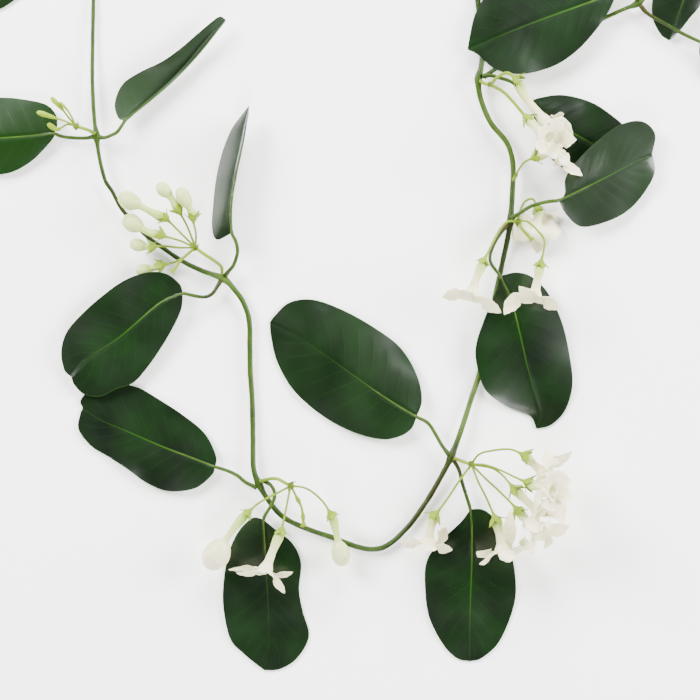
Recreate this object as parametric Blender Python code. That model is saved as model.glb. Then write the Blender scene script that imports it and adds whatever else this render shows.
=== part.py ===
# Madagascar jasmine: a cut strand of the vine lying on a table, with its leaves and flower heads.
# The strand makes a U. Its places are read from the photograph in pixels, its heights are in
# millimetres above the table, and everything is built in metres with +Z up.
import math

import bmesh
import bpy
from mathutils import Vector

MM = 0.001
PIXEL = 0.0005                      # one photo pixel on the real plant: the middle leaf is 88 mm long
ORIGIN_PIXEL = (350.4, 299.5)       # photo pixel that lies above the model's origin
GAP = 0.3 * MM                      # left between pieces that touch on the plant
STEM_RADIUS = 1.4 * MM
SHOOT_RADIUS = 1.15 * MM
KNOT_RADIUS = 1.9 * MM              # the stem swells where leaves leave it
PETIOLE_RADIUS = 0.95 * MM
PEDUNCLE_RADIUS = 0.85 * MM
PEDICEL_RADIUS = 0.55 * MM
CALYX_RADIUS = 2.4 * MM
CALYX_LENGTH = 2.6 * MM
HUB_RADIUS = 1.7 * MM
BLADE_THICKNESS = 0.8 * MM
LOBE_THICKNESS = 0.8 * MM
LOBE_WIDTH = 7.5 * MM
LOBE_FACING = 0.8                   # how far a lobe turns its face up, against the flower's own axis

CURVE_STEPS = 12                    # fine steps of a smooth curve between two given points
TUBE_SIDES = 6
CORE_SIDES = 8
BLADE_FLOW = (0.0, 0.05, 0.12, 0.25, 0.38, 0.51, 0.64, 0.77, 0.9, 0.96, 1.0)   # rows of the blade
BLADE_SPREAD = (-1.0, -0.66, -0.33, 0.0, 0.33, 0.66, 1.0)
BLADE_STEPS = 201                   # fine steps along midrib and margins
BLADE_JOINT = 0.12                  # share of the blade in which the petiole thins out into it
BLADE_FLAT_FROM = 0.98              # the last rows of a blade lie level
BLADE_TIP = 0.12 * MM
BLADE_ARCH = 0.7                    # exponent: a margin lifts early and stays up along the blade
BLADE_CURL = 1.3                    # exponent: the lift grows from the midrib to the margin
PETIOLE_ROWS = 5
FLOOR_GAP = 0.05 * MM
TIGHT = 0.8                         # a stalk's foot may come this much nearer than its full radius
ROUTE_STEPS = 24                    # points on a stalk's route before it's cut clear of the stem
PEDUNCLE_ROWS = 5
HUB_GRID = (8, 6)                   # segments and rings of a head's knot
PEDICEL_ROWS = 6
CUP_PROFILE = ((0, 0.3), (0.5, 0.75), (1, 1.0))       # place along the calyx, share of its radius
CUP_ROOM = 0.4                      # stalk rings nearer to the calyx, in its lengths, are left out
BARE_CUP = 0.5                      # size of a calyx that has lost its flower
TINY_BUD_PROFILE = ((0, 0.5), (0.55, 0.55), (0.8, 1.0), (1, 0.45))
TINY_BUD_ROWS = 7
TUBE_ROWS = 5
TUBE_PROFILE = ((0, 2.2), (0.12, 2.5), (0.5, 1.8), (0.85, 1.9), (1.0, 2.6))   # radius in mm
LOBE_PROFILE = ((0, 0.5), (0.42, 1.0), (0.78, 0.8), (1.0, 0.08))   # place along it, share of width
LOBE_ROOT = 0.45                    # the lobes start at this share of the mouth's radius
LOBES = 5
BUD_ROWS = 10
BUD_TUBE_PROFILE = ((0, 2.0), (0.25, 2.3), (1, 1.55))              # radius in mm
BUD_TIP = 0.5                       # radius in mm
STEM_POINTS = 74
SHOOT_POINTS = 28
STEM_STEPS = 400                    # points on the stem's centre line that pieces keep clear of
SHOOT_STEPS = 160

COLOURS = {                         # base colour (linear), roughness
    "leaf": ((0.022, 0.075, 0.018), 0.35),
    "stem": ((0.12, 0.24, 0.05), 0.5),
    "stalk": ((0.38, 0.52, 0.14), 0.5),
    "corolla": ((0.86, 0.85, 0.76), 0.45),
    "bud": ((0.72, 0.78, 0.52), 0.45),
}


def place(point):
    """A point given as photo x, photo y and height in millimetres, in metres in the model."""
    x, y, height = point
    return Vector(((x - ORIGIN_PIXEL[0]) * PIXEL, (ORIGIN_PIXEL[1] - y) * PIXEL, height * MM))


def smooth_path(points, count):
    """Points along a smooth curve through the given ones, evenly spaced along its length."""
    ends = [points[0] * 2 - points[1]] + points + [points[-1] * 2 - points[-2]]
    fine = []
    for i in range(1, len(ends) - 2):
        before, start, stop, after = ends[i - 1:i + 3]
        for step in range(CURVE_STEPS):
            t = step / CURVE_STEPS
            a = start * 2
            b = (stop - before) * t
            c = (before * 2 - start * 5 + stop * 4 - after) * t * t
            d = (start * 3 - before - stop * 3 + after) * t * t * t
            fine.append((a + b + c + d) * 0.5)
    fine.append(points[-1])
    return resample(fine, count)


def resample(points, count):
    """The same path with count points at even distances."""
    reach = [0.0]
    for a, b in zip(points, points[1:]):
        reach.append(reach[-1] + (b - a).length)
    result = []
    k = 0
    for i in range(count):
        wanted = reach[-1] * i / (count - 1)
        while k < len(points) - 2 and reach[k + 1] < wanted:
            k += 1
        span = reach[k + 1] - reach[k]
        share = (wanted - reach[k]) / span if span > 0 else 0.0
        result.append(points[k].lerp(points[k + 1], share))
    return result


def profile(stations, t):
    """Value at t of a smooth profile given as (t, value) stations."""
    for (t0, v0), (t1, v1) in zip(stations, stations[1:]):
        if t <= t1:
            share = (t - t0) / (t1 - t0)
            share = share * share * (3 - 2 * share)
            return v0 + (v1 - v0) * share
    return stations[-1][1]


def make_material(kind):
    colour, roughness = COLOURS[kind]
    material = bpy.data.materials.new(kind)
    material.use_nodes = True
    shader = material.node_tree.nodes["Principled BSDF"]
    shader.inputs["Base Color"].default_value = (*colour, 1.0)
    shader.inputs["Roughness"].default_value = roughness
    shader.inputs["Metallic"].default_value = 0.0
    material.diffuse_color = (*colour, 1.0)
    return material


def loft(name, rings, material, collection):
    """One closed solid through rings that all have the same number of points."""
    shell = bmesh.new()
    rows = [[shell.verts.new(p) for p in ring] for ring in rings]
    for row, after in zip(rows, rows[1:]):
        for i in range(len(row)):
            j = (i + 1) % len(row)
            shell.faces.new((row[i], row[j], after[j], after[i]))
    shell.faces.new(list(reversed(rows[0])))
    shell.faces.new(rows[-1])
    bmesh.ops.triangulate(shell, faces=shell.faces)
    bmesh.ops.recalc_face_normals(shell, faces=shell.faces)
    if shell.calc_volume(signed=True) < 0:
        bmesh.ops.reverse_faces(shell, faces=shell.faces)
    mesh = bpy.data.meshes.new(name)
    shell.to_mesh(mesh)
    shell.free()
    mesh.materials.append(material)
    mesh.shade_smooth()
    piece = bpy.data.objects.new(name, mesh)
    collection.objects.link(piece)
    return piece


def across(direction):
    """Level direction square to a path, and the one square to both."""
    side = direction.cross(Vector((0, 0, 1)))
    if side.length < 1e-6:
        side = Vector((1, 0, 0))
    side.normalize()
    return side, side.cross(direction).normalized()


def directions(path):
    result = []
    for i in range(len(path)):
        ahead = path[min(i + 1, len(path) - 1)] - path[max(i - 1, 0)]
        result.append(ahead.normalized())
    return result


def round_rings(path, radii, sides):
    """Rings round a path, carried along it without twisting."""
    rings = []
    side = None
    for point, ahead, radius in zip(path, directions(path), radii):
        if side is None:
            side = across(ahead)[0]
        side = (side - ahead * side.dot(ahead)).normalized()
        other = ahead.cross(side)
        ring = []
        for k in range(sides):
            angle = 2 * math.pi * k / sides
            ring.append(point + side * math.cos(angle) * radius + other * math.sin(angle) * radius)
        rings.append(ring)
    return rings


def clear_of(path, carrier, distance):
    """The path from the first point that is the distance away from the carrier's centre line."""
    for i, point in enumerate(path):
        if min((point - c).length for c in carrier) >= distance:
            return path[i:]
    return path


# Main stem and side shoot

STEM_ROUTE = [
    (97, -72, 1.6), (95.5, -50, 2), (94, -20, 2), (93, 0, 2.2), (92.3, 40, 3), (92.2, 80, 4.5),
    (94, 115, 6), (96.5, 136, 6.5), (99.5, 158, 6.5), (105, 180, 6), (112, 191, 5.5),
    (121, 208, 4.5), (133, 222, 3.5), (147, 236.5, 3), (163, 248, 3), (182, 261, 3.5),
    (203, 271, 4.5), (223, 278.5, 5), (233, 288, 5), (243, 302, 4.3), (249, 320, 3.5),
    (249.7, 345, 3), (250, 370, 2.8), (252, 400, 2.8), (252.8, 435, 3.2), (253.5, 468, 4.5),
    (259, 484, 5), (268, 500, 4.6), (283, 517, 4), (307, 529, 3.2), (333, 538, 2.8),
    (357, 547, 2.8), (375, 549.5, 2.8), (390, 544, 2.8), (409, 526, 3), (427, 501, 3.4),
    (441, 477, 4.6), (451, 457, 5.2), (461, 431, 4.8), (471, 400, 3.4), (480, 372, 2.4),
    (491, 318, 2), (501, 270, 2.4), (507, 242, 4.2), (510.5, 220, 5.6), (512.4, 192, 6),
    (513, 165, 6), (507, 143, 5.5), (491, 123, 5.5), (481, 100, 6), (478, 80, 6.5),
    (481, 68, 6.2), (483, 50, 4), (482, 25, 2.8), (478, 0, 2.4), (475, -45, 1.8), (474, -70, 1.6),
]
KNOTS = [(95.5, -50), (96.5, 136), (223, 278.5), (259, 484), (451, 457), (510.5, 220), (478, 79)]
KNOT_REACH = 7 * MM
SHOOT_ROUTE = [
    (484, 77, 7.5), (500, 66, 5.5), (525, 53, 3.4), (560, 38, 2.4), (590, 25, 2.6), (606, 17, 3.5),
    (625, 8.5, 5), (638, 3, 5.5), (650, -10, 5), (664, -32, 5), (676, -58, 5), (682, -68, 5),
]


def stem_curve(name, route, points, radius, material, collection):
    path = smooth_path([place(p) for p in route], points)
    curve = bpy.data.curves.new(name, "CURVE")
    curve.dimensions = "3D"
    curve.bevel_depth = radius
    curve.bevel_resolution = 2
    curve.use_fill_caps = True
    spline = curve.splines.new("POLY")
    spline.points.add(len(path) - 1)
    knots = [place((x, y, 0)) for x, y in KNOTS]
    for handle, point in zip(spline.points, path):
        handle.co = (*point, 1.0)
        nearest = min(math.hypot(point.x - k.x, point.y - k.y) for k in knots)
        swell = max(0.0, 1 - nearest / KNOT_REACH) ** 2
        handle.radius = 1 + swell * (KNOT_RADIUS / radius - 1)
    curve.materials.append(material)
    piece = bpy.data.objects.new(name, curve)
    collection.objects.link(piece)
    return path


# Leaves: petiole from the stem to the blade, midrib from base to tip, and the two margins.
# lift says how far each margin stands above (or hangs below) the midrib at its widest.

LEAVES = {
    "leaf_01": dict(
        petiole=[(95, -50, 3), (86, -50, 4), (74, -56, 5), (62, -62, 5)],
        midrib=[(62, -62, 5), (30, -46, 5), (-5, -27, 4), (-40, -9, 3), (-75, 8, 1.2)],
        margins=([(60, -45), (45, -20), (20, -5), (0, 8), (-28, 16), (-55, 18)],
                 [(50, -68), (25, -69), (-8, -62), (-40, -45), (-68, -15)]),
        lift=(-3, -3)),
    "leaf_02": dict(
        petiole=[(95, 136, 7), (88, 138, 7), (75, 138, 6.5), (62, 136.5, 6.5), (54, 133, 6.5)],
        midrib=[(54, 133, 6.5), (28, 136, 6.5), (0, 138, 6), (-50, 141, 4), (-100, 140, 1.2)],
        margins=([(57, 128), (56, 115), (45, 104), (20, 98.5), (0, 97), (-30, 99), (-60, 106),
                  (-85, 120)],
                 [(54, 137), (45, 148), (30, 162), (10, 172.5), (-15, 175), (-40, 174), (-65, 168),
                  (-88, 156)]),
        lift=(-3, -3)),
    "leaf_03": dict(
        petiole=[(98, 137, 8), (105, 138, 9), (112, 135.5, 10), (118, 132, 10), (126, 120, 9)],
        midrib=[(126, 120, 9), (143, 105, 6), (167, 84, 4), (186, 64, 4), (206, 40, 6), (226, 20, 9)],
        margins=([(119, 119), (115, 104), (123, 84.5), (141, 72), (162, 62), (178, 51), (194, 37.5),
                  (210, 24), (220, 17)],
                 [(130, 117), (150, 101), (172, 82), (190, 64), (206, 46), (219, 29)]),
        lift=(12, 14)),
    "leaf_04": dict(
        petiole=[(225, 276, 6), (229, 271, 8), (234, 265, 10), (238, 252, 13), (236, 241, 16),
                 (232, 234, 17)],
        midrib=[(232, 234, 17), (231.5, 215, 17), (233, 196, 17), (238, 170, 17), (245, 138, 15),
                (249.5, 106, 12)],
        margins=([(217, 240), (212, 227), (213, 205), (216, 178), (222, 152), (231, 130), (241, 116)],
                 [(231, 228), (230, 215), (231, 195), (236, 170), (243, 140), (248.5, 118)]),
        lift=(-13, -15)),
    "leaf_05": dict(
        petiole=[(221, 280, 5.5), (217, 287, 6), (212, 294, 6.5), (205, 297, 7.5), (195, 296, 8.5),
                 (183, 293, 9)],
        midrib=[(183, 293, 9), (165, 300, 9), (150, 311, 9), (120, 337, 8.5), (90, 357, 6.5),
                (71, 377, 4)],
        margins=([(180, 284), (167, 274), (152, 272), (137, 275), (120, 283), (100, 298), (80, 316),
                  (66, 333), (61, 352), (64, 370)],
                 [(182, 307), (176, 322), (163, 345), (147, 368), (133, 383), (116, 389), (100, 396.5),
                  (84, 394.5), (74, 385)]),
        lift=(-1, -3)),
    "leaf_06": dict(
        petiole=[(257, 488, 5), (245, 482, 5), (238, 476, 5), (228, 471, 5), (215, 467, 4.5)],
        midrib=[(215, 467, 4.5), (190, 457.5, 3), (160, 446, 1.8), (130, 433, 1.1), (100, 420, 0.8),
                (82, 408, 0.8)],
        margins=([(216, 456), (205, 434), (184, 416), (158, 399), (135, 386.5), (112, 384), (93, 387),
                  (80, 400)],
                 [(212, 475), (195, 488.5), (168, 491.5), (146, 483), (128, 470), (108, 457),
                  (90, 446), (78, 430), (79, 416)]),
        lift=(0.6, 1.5)),
    "leaf_07": dict(
        petiole=[(264, 481, 6.5), (271, 485, 8), (275, 494, 9), (272, 504, 9), (267, 512, 8),
                 (263, 519, 6.5)],
        midrib=[(263, 519, 6.5), (265, 550, 5), (267, 585, 4), (268.5, 620, 3), (268.5, 650, 1.8),
                (264, 671, 0.8)],
        margins=([(252, 518), (238, 532), (229, 552), (223.5, 580), (223, 608), (230, 640),
                  (244, 655), (256, 665)],
                 [(276, 530), (292, 543), (301, 563), (299, 590), (303, 613), (309, 637), (297, 659),
                  (280, 670)]),
        lift=(-2, -2)),
    "leaf_08": dict(
        petiole=[(449, 455, 6), (446, 451, 7), (441, 444, 8), (436, 435, 8.5), (428, 423, 8.5),
                 (416.5, 417, 7.5)],
        midrib=[(416.5, 417, 7.5), (385, 397.5, 6.5), (355, 376.5, 5.5), (325, 355, 4.5),
                (295, 335, 3), (269.5, 322.5, 1.6)],
        margins=([(422, 400), (417, 375), (400, 347), (372, 326), (342, 309.5), (313, 299.5),
                  (290, 302), (275, 315)],
                 [(412, 428), (401, 436), (382, 439.5), (351, 431.5), (321, 415), (293, 390),
                  (277, 362), (271, 338)]),
        lift=(-3, -3)),
    "leaf_09": dict(
        petiole=[(453, 459, 6), (459, 470, 6.5), (462, 482, 7), (466, 495, 7), (470.5, 509, 6.5)],
        midrib=[(470.5, 509, 6.5), (472, 530, 5.5), (472, 560, 4.5), (471, 590, 3.6),
                (470, 625, 2.4), (470, 662, 0.8)],
        margins=([(460, 523), (440, 542), (427, 561), (425, 585), (429, 617), (443, 645),
                  (457, 659)],
                 [(484, 510), (497, 522), (510, 548), (516, 580), (514, 608), (500, 642),
                  (482, 659)]),
        lift=(-2, -2)),
    "leaf_10": dict(
        petiole=[(508, 224, 6.5), (500, 234, 8), (492, 248, 9.5), (490, 262, 10.5), (500, 276, 10.5)],
        midrib=[(500, 276, 10.5), (511, 300, 10.5), (520, 335, 9.5), (527, 365, 7.5),
                (535, 393, 4.5), (541, 415, 2), (537, 429, 0.8)],
        margins=([(496, 290), (483, 322), (475.5, 348), (478, 371), (487, 392), (508, 407),
                  (530, 416)],
                 [(516, 272.5), (532, 277), (548, 293), (562, 322), (570, 355), (573, 385),
                  (566, 410), (552, 425)]),
        lift=(-2.2, -6)),
    "leaf_11": dict(
        petiole=[(512, 218, 8.5), (520, 213, 12), (530, 207, 13.5), (543, 203, 13.5),
                 (558, 201, 12.5)],
        midrib=[(558, 201, 12.5), (575, 193, 12), (605, 178, 11), (635, 162, 8.5), (652, 154.5, 6.5)],
        margins=([(564, 194), (565, 178), (577, 161), (595, 143), (620, 125), (642, 121.5),
                  (655, 134)],
                 [(566, 215), (582, 227), (610, 220.5), (630, 209), (645, 192), (655, 172)]),
        lift=(-1.5, -6)),
    "leaf_12": dict(
        petiole=[(482, 76.5, 8), (490, 75.5, 7.5), (500, 78, 6), (512, 82, 5), (522, 91, 4.5),
                 (531, 101, 4.2)],
        midrib=[(531, 101, 4.2), (545, 113, 4), (571, 131, 3.5), (596, 145, 2.6), (620, 158, 1.6),
                (640, 167, 0.8)],
        margins=([(540, 97.5), (563, 94.5), (590, 101), (610, 113), (626, 127), (638, 148)],
                 [(534, 117), (541, 143), (554, 161), (575, 173), (600, 178), (625, 176)]),
        lift=(-1, -1)),
    "leaf_13": dict(
        petiole=[(637, 0, 7), (633, -6, 8), (627, -9, 8), (618, -9, 8)],
        midrib=[(618, -9, 8), (596, 0, 8), (560, 13, 7.5), (530, 24, 7), (500, 36, 7),
                (467.5, 49.5, 6)],
        margins=([(605, -28), (580, -42), (550, -45), (520, -38), (495, -18), (476, 12), (470, 35)],
                 [(606, 16), (585, 43), (565, 60), (545, 69.5), (520, 74.5), (496, 70), (478, 55)]),
        lift=(-2.5, 1)),
    "leaf_14": dict(
        petiole=[(683, -69, 5.5), (690, -64, 6.5), (694, -55, 7), (693, -45, 7)],
        midrib=[(693, -45, 7), (690, -25, 7), (684, -2, 6.5), (677, 18, 5), (669.5, 40, 3)],
        margins=([(676, -40), (661, -24), (653, -2), (653, 18), (661, 34)],
                 [(704, -34), (707, -14), (701, 4), (690, 18), (678, 33)]),
        lift=(-1, 4)),
    "leaf_15": dict(
        petiole=[(640, 5, 6), (648, 14, 6.5), (665, 24, 7), (683, 34, 7), (700, 42, 7)],
        midrib=[(700, 42, 7), (722, 53, 6.5), (750, 68, 5), (778, 84, 3), (800, 96, 1)],
        margins=([(706, 32), (725, 22), (755, 30), (782, 50), (800, 78)],
                 [(700, 56), (712, 78), (735, 98), (765, 110), (790, 109)]),
        lift=(-3, -3)),
}


def blade_grid(leaf, carrier):
    """Centre surface of petiole and blade: rows from the stem to the tip, and each row's thickness."""
    route = smooth_path([place(p) for p in leaf["petiole"]], ROUTE_STEPS)
    route = clear_of(route, carrier, KNOT_RADIUS + GAP + PETIOLE_RADIUS * TIGHT)
    route = resample(route, PETIOLE_ROWS + 1)[:-1]
    middle = smooth_path([place(p) for p in leaf["midrib"]], BLADE_STEPS)
    base, tip = leaf["midrib"][0][:2], leaf["midrib"][-1][:2]
    edges = []
    for margin in leaf["margins"]:
        outline = [place((*p, 0)) for p in [base] + margin + [tip]]
        edges.append(smooth_path(outline, BLADE_STEPS))
    heading = directions(middle)
    half_way = BLADE_STEPS // 2
    turned = (edges[1][half_way] - edges[0][half_way]).dot(across(heading[half_way])[0]) < 0
    hand = -1 if turned else 1
    rows = []
    halves = []
    for point, ahead in zip(route, directions(route)):
        side = across(ahead)[0] * hand
        rows.append([point + side * PETIOLE_RADIUS * u for u in BLADE_SPREAD])
        halves.append(PETIOLE_RADIUS)
    for t in BLADE_FLOW:
        k = round(t * (BLADE_STEPS - 1))
        centre = middle[k]
        side = across(heading[k])[0] * hand
        row = []
        arch = 0.0
        if 0 < t < BLADE_FLAT_FROM:
            arch = math.sin(math.pi * t / BLADE_FLAT_FROM) ** BLADE_ARCH
        slim = PETIOLE_RADIUS * (1 - t) ** 0.5 + BLADE_TIP
        for u in BLADE_SPREAD:
            edge = edges[0 if u < 0 else 1][k]
            reach = Vector((edge.x - centre.x, edge.y - centre.y, 0))
            level = side * slim * (1 if u > 0 else -1)
            if reach.length < slim:
                reach = level
            lift = leaf["lift"][0 if u < 0 else 1] * MM * arch * abs(u) ** BLADE_CURL
            point = centre + reach * abs(u)
            point.z += lift
            row.append(point)
        rows.append(row)
        halves.append(max(BLADE_THICKNESS / 2, PETIOLE_RADIUS * (1 - t / BLADE_JOINT)))
    return rows, halves


def leaf_rings(leaf, carrier):
    """Lens-shaped sections from the petiole's foot to the tip of the blade."""
    rows, halves = blade_grid(leaf, carrier)
    columns = len(BLADE_SPREAD)
    rings = []
    for i, row in enumerate(rows):
        above = []
        below = []
        for j, point in enumerate(row):
            along = rows[min(i + 1, len(rows) - 1)][j] - rows[max(i - 1, 0)][j]
            wide = row[min(j + 1, columns - 1)] - row[max(j - 1, 0)]
            normal = wide.cross(along).normalized()
            if j in (0, columns - 1):
                normal = normal * 0
            half = halves[i] * math.sqrt(max(0.0, 1 - BLADE_SPREAD[j] ** 2))
            floor = half + FLOOR_GAP
            point = Vector((point.x, point.y, max(point.z, floor)))
            above.append(point + normal * half)
            below.append(point - normal * half)
        rings.append(above + below[-2:0:-1])
    return rings


# Flower heads. A head is a stalk (peduncle) from the stem to its hub, and stalklets (pedicels)
# from the hub to each calyx. The last point of a route is the middle of the calyx's mouth.

HEADS = {
    "umbel_a": dict(
        peduncle=[(95, 134, 8.5), (90, 131, 10), (84, 129, 11), (77, 127, 12)],
        buds=[([(77, 127, 12), (70, 119, 13), (64, 111, 14), (52, 98, 14.5)], 1.25),
              ([(77, 127, 12), (66, 122, 14), (53, 118, 15), (38, 113, 15)], 1.4),
              ([(77, 127, 12), (68, 125, 11), (58, 130, 11), (48, 124, 11)], 1.4),
              ([(77, 127, 12), (70, 113, 15), (61, 103, 16)], 0.8)]),
    "umbel_b": dict(
        peduncle=[(222, 274, 8), (222, 268, 9.5), (219, 264, 11), (212, 259, 13), (204, 254, 14),
                  (196, 248, 15)],
        pedicels={
            "b1": [(196, 248, 15), (183, 235, 17), (170, 222, 18), (165, 218, 18.5)],
            "b2": [(196, 248, 15), (180, 241, 16), (168, 237.5, 16), (161, 235, 16)],
            "b3": [(196, 248, 15), (180, 248, 12.5), (165, 246.5, 11.5), (151, 247, 11.5)],
            "b4": [(196, 248, 15), (189, 229, 18), (183, 217, 19), (179, 210, 19)],
            "b5": [(196, 248, 15), (197, 235, 19), (195, 225, 20.5), (194, 217, 21)],
            "b6": [(196, 248, 15), (185, 257, 11.5), (175, 262, 8.5), (160, 265.5, 6)],
            "": [(196, 248, 15), (182, 260, 13), (177, 267, 12.5), (172, 273, 12.5)]}),
    "umbel_c": dict(
        peduncle=[(260, 481, 7.5), (270, 478.5, 10.5), (278, 478.5, 13), (285, 482, 15),
                  (291, 485, 16)],
        pedicels={
            "c1": [(291, 485, 16), (280, 491, 18), (268, 497, 19), (258, 503, 19), (247, 513, 18.5)],
            "c2": [(291, 485, 16), (288, 500, 18), (285, 515, 18), (281.5, 532, 17.5)],
            "c3": [(291, 485, 16), (305, 487, 18), (315, 493, 18), (324, 502, 17), (332, 515, 15)],
            "": [(291, 485, 16), (296, 495, 15), (302, 508, 13.5), (304, 526, 12)]}),
    "umbel_d": dict(
        peduncle=[(454, 458, 7.5), (462, 461, 9.5), (471, 464, 12)],
        pedicels={
            "d1": [(471, 464, 12), (459, 480, 14), (449, 495, 15), (441, 506, 15), (434, 515, 14.5)],
            "d2": [(471, 464, 12), (478, 482, 15.5), (486, 498, 17.5), (495, 519, 18)],
            "d3": [(471, 464, 12), (485, 478, 16), (498, 490, 18), (511, 503, 19), (517, 510, 19)],
            "d4": [(471, 464, 12), (490, 467, 19), (500, 473, 24), (507, 481, 27), (513, 488, 28)],
            "d5": [(471, 464, 12), (484, 464, 20), (499, 469, 28), (514, 476, 34), (526, 481, 37)],
            "d6": [(471, 464, 12), (478, 454, 17), (490, 450, 21), (509, 448.5, 24),
                   (524, 455, 24)]}),
    "umbel_e": dict(
        peduncle=[(512, 220.5, 7), (515, 221.5, 8), (518, 222, 8.5)],
        pedicels={
            "e1": [(518, 222, 8.5), (507, 222, 13), (499, 230, 15), (492, 243, 18), (487, 253, 20),
                   (482, 263, 20.5)],
            "e2": [(518, 222, 8.5), (526, 222, 15), (536, 231, 19), (543, 243, 21), (539, 266, 21)],
            "e3": [(518, 222, 8.5), (520, 211, 7.2), (525, 201.5, 7.4), (533, 199.5, 8),
                   (538, 210.5, 7.8)],
            "": [(518, 222, 8.5), (522, 230, 11), (532, 241, 11.5)]}),
    "umbel_f": dict(
        peduncle=[(480, 81, 9), (484, 84, 10.5), (490, 85.5, 11)],
        pedicels={
            "f1": [(490, 85.5, 11), (497, 78, 12), (507, 74, 13), (517, 81, 14)],
            "f2": [(490, 85.5, 11), (502, 92, 12), (511, 101, 13), (527, 120, 14)]}),
    "stalk_g": dict(
        peduncle=[(513, 180, 8), (514.5, 178, 9.5), (516, 175, 10.5)],
        pedicels={"f3": [(516, 175, 10.5), (519, 169, 11.5), (525, 162, 12), (536, 157.5, 12.5)]}),
}

# Corollas. The tube's route starts at the calyx's mouth and ends at its own mouth, and tips are
# the places that the five lobes reach.

FLOWERS = {
    "flower_c2": dict(tube=[(280, 534, 17.5), (274, 548, 17), (266, 569, 16)],
                      tips=[(229, 568, 18), (255, 580, 24), (293, 571, 13), (285, 592, 18),
                            (258, 560, 7)]),
    "flower_d1": dict(tube=[(433, 517, 14.4), (430, 530, 14), (428, 542, 13)],
                      tips=[(399, 541, 13), (420, 552, 23), (452, 549, 14), (446, 528, 6),
                            (414, 533, 6)]),
    "flower_d2": dict(tube=[(496, 522, 18), (499, 536, 17.5), (501, 549, 17)],
                      tips=[(476, 550, 19), (478, 562, 25), (508, 560, 26), (524, 548, 14),
                            (506, 541, 8)]),
    "flower_d3": dict(tube=[(519, 512, 19), (528, 523, 18.5), (537, 536, 18)],
                      tips=[(568, 524, 19), (551, 542, 25), (528, 552, 24), (518, 541, 14),
                            (549, 519, 11)]),
    "flower_d4": dict(tube=[(515, 490, 28), (525, 500, 29), (536, 509, 29.5)],
                      tips=[(561, 521, 31), (560, 502, 34), (536, 530, 34), (520, 524, 26),
                            (552, 496, 25)]),
    "flower_d5": dict(tube=[(528, 482.5, 37.8), (538, 485, 41), (548, 488, 44)],
                      tips=[(566, 477, 51), (563, 498, 46), (546, 509, 43), (535, 493, 40),
                            (549, 469, 42)]),
    "flower_d6": dict(tube=[(526, 457, 24), (533, 464, 24), (541, 471, 23.5)],
                      tips=[(543, 448, 26), (569, 450, 25), (558, 474, 33), (529, 483, 20),
                            (553, 478, 14)]),
    "flower_e1": dict(tube=[(481.5, 265, 20.4), (475, 280, 20.2), (470.5, 295, 20)],
                      tips=[(441.5, 297, 21), (452, 290, 30), (500, 313, 22), (484, 303, 11),
                            (461, 299, 10)]),
    "flower_e2": dict(tube=[(538.5, 268, 21), (536, 281, 20.8), (533, 296, 20.5)],
                      tips=[(517, 287, 29), (503, 315, 22), (557, 310, 22), (545, 304, 11),
                            (521, 303, 11)]),
    "flower_e3": dict(tube=[(538, 214, 7.4), (537, 221, 5.8), (536, 228, 4.4)],
                      tips=[(556, 208, 3), (562, 231, 3), (537, 253, 3), (513, 240, 3),
                            (513, 224, 3)]),
    "flower_f1": dict(tube=[(519.5, 85, 13.6), (524, 97, 12.5), (546, 124, 11)],
                      tips=[(559, 113, 14), (572, 137, 13), (561, 146, 11), (540, 144, 12),
                            (545, 105, 14)]),
    "flower_f2": dict(tube=[(529, 122, 14.5), (536, 130, 19), (547, 139, 24)],
                      tips=[(560, 119, 27), (573, 141, 27), (560, 158, 28), (538, 156, 28),
                            (536, 131, 31)]),
    "flower_f3": dict(tube=[(538, 156.5, 12.6), (548, 154, 13.5), (560, 152, 14.5)],
                      tips=[(575, 141, 17), (581, 177, 18), (568, 167, 17), (553, 166, 11),
                            (566, 134, 14)]),
}

# Buds: route from the calyx's mouth to the middle of the head, and the head's radius.

BUDS = {
    "bud_b1": dict(tube=[(163, 217.5, 18.5), (155, 214, 19), (142, 207, 19),
                         (129, 201, 19)], head=4.5, length=5.0),
    "bud_b2": dict(tube=[(159, 234.8, 16), (150, 233, 15.5), (141, 228, 15),
                         (132, 223, 14.5)], head=4.4, length=4.8),
    "bud_b3": dict(tube=[(149, 247, 11.5), (144, 246.5, 11), (137, 245, 10.5)],
                   head=3.2, length=3.6),
    "bud_b4": dict(tube=[(178, 208, 19), (175, 203, 19), (170, 196, 19),
                         (164, 190, 19)], head=3.4, length=3.8),
    "bud_b5": dict(tube=[(193.5, 215, 21), (190, 208, 21.5), (184, 197, 21.5)],
                   head=3.6, length=4.6),
    "bud_b6": dict(tube=[(158, 266, 5.8), (152, 268, 5), (142, 270, 4.4)],
                   head=2.9, length=3.4),
    "bud_c1": dict(tube=[(245, 515, 18.4), (238, 523, 18), (231, 532, 17),
                         (216, 555, 13.5)], head=6.8, length=8.0),
    "bud_c3": dict(tube=[(333, 517, 14.6), (335, 526, 13.5), (337, 535, 12),
                         (341, 555, 9.6)], head=4.7, length=5.8),
}


def unite(body, pieces):
    """The pieces grow into the body; they stay in the file as its cutters."""
    for piece in pieces:
        piece.hide_render = True
        piece.display_type = "WIRE"
        union = body.modifiers.new(piece.name, "BOOLEAN")
        union.operation = "UNION"
        union.object = piece


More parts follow.
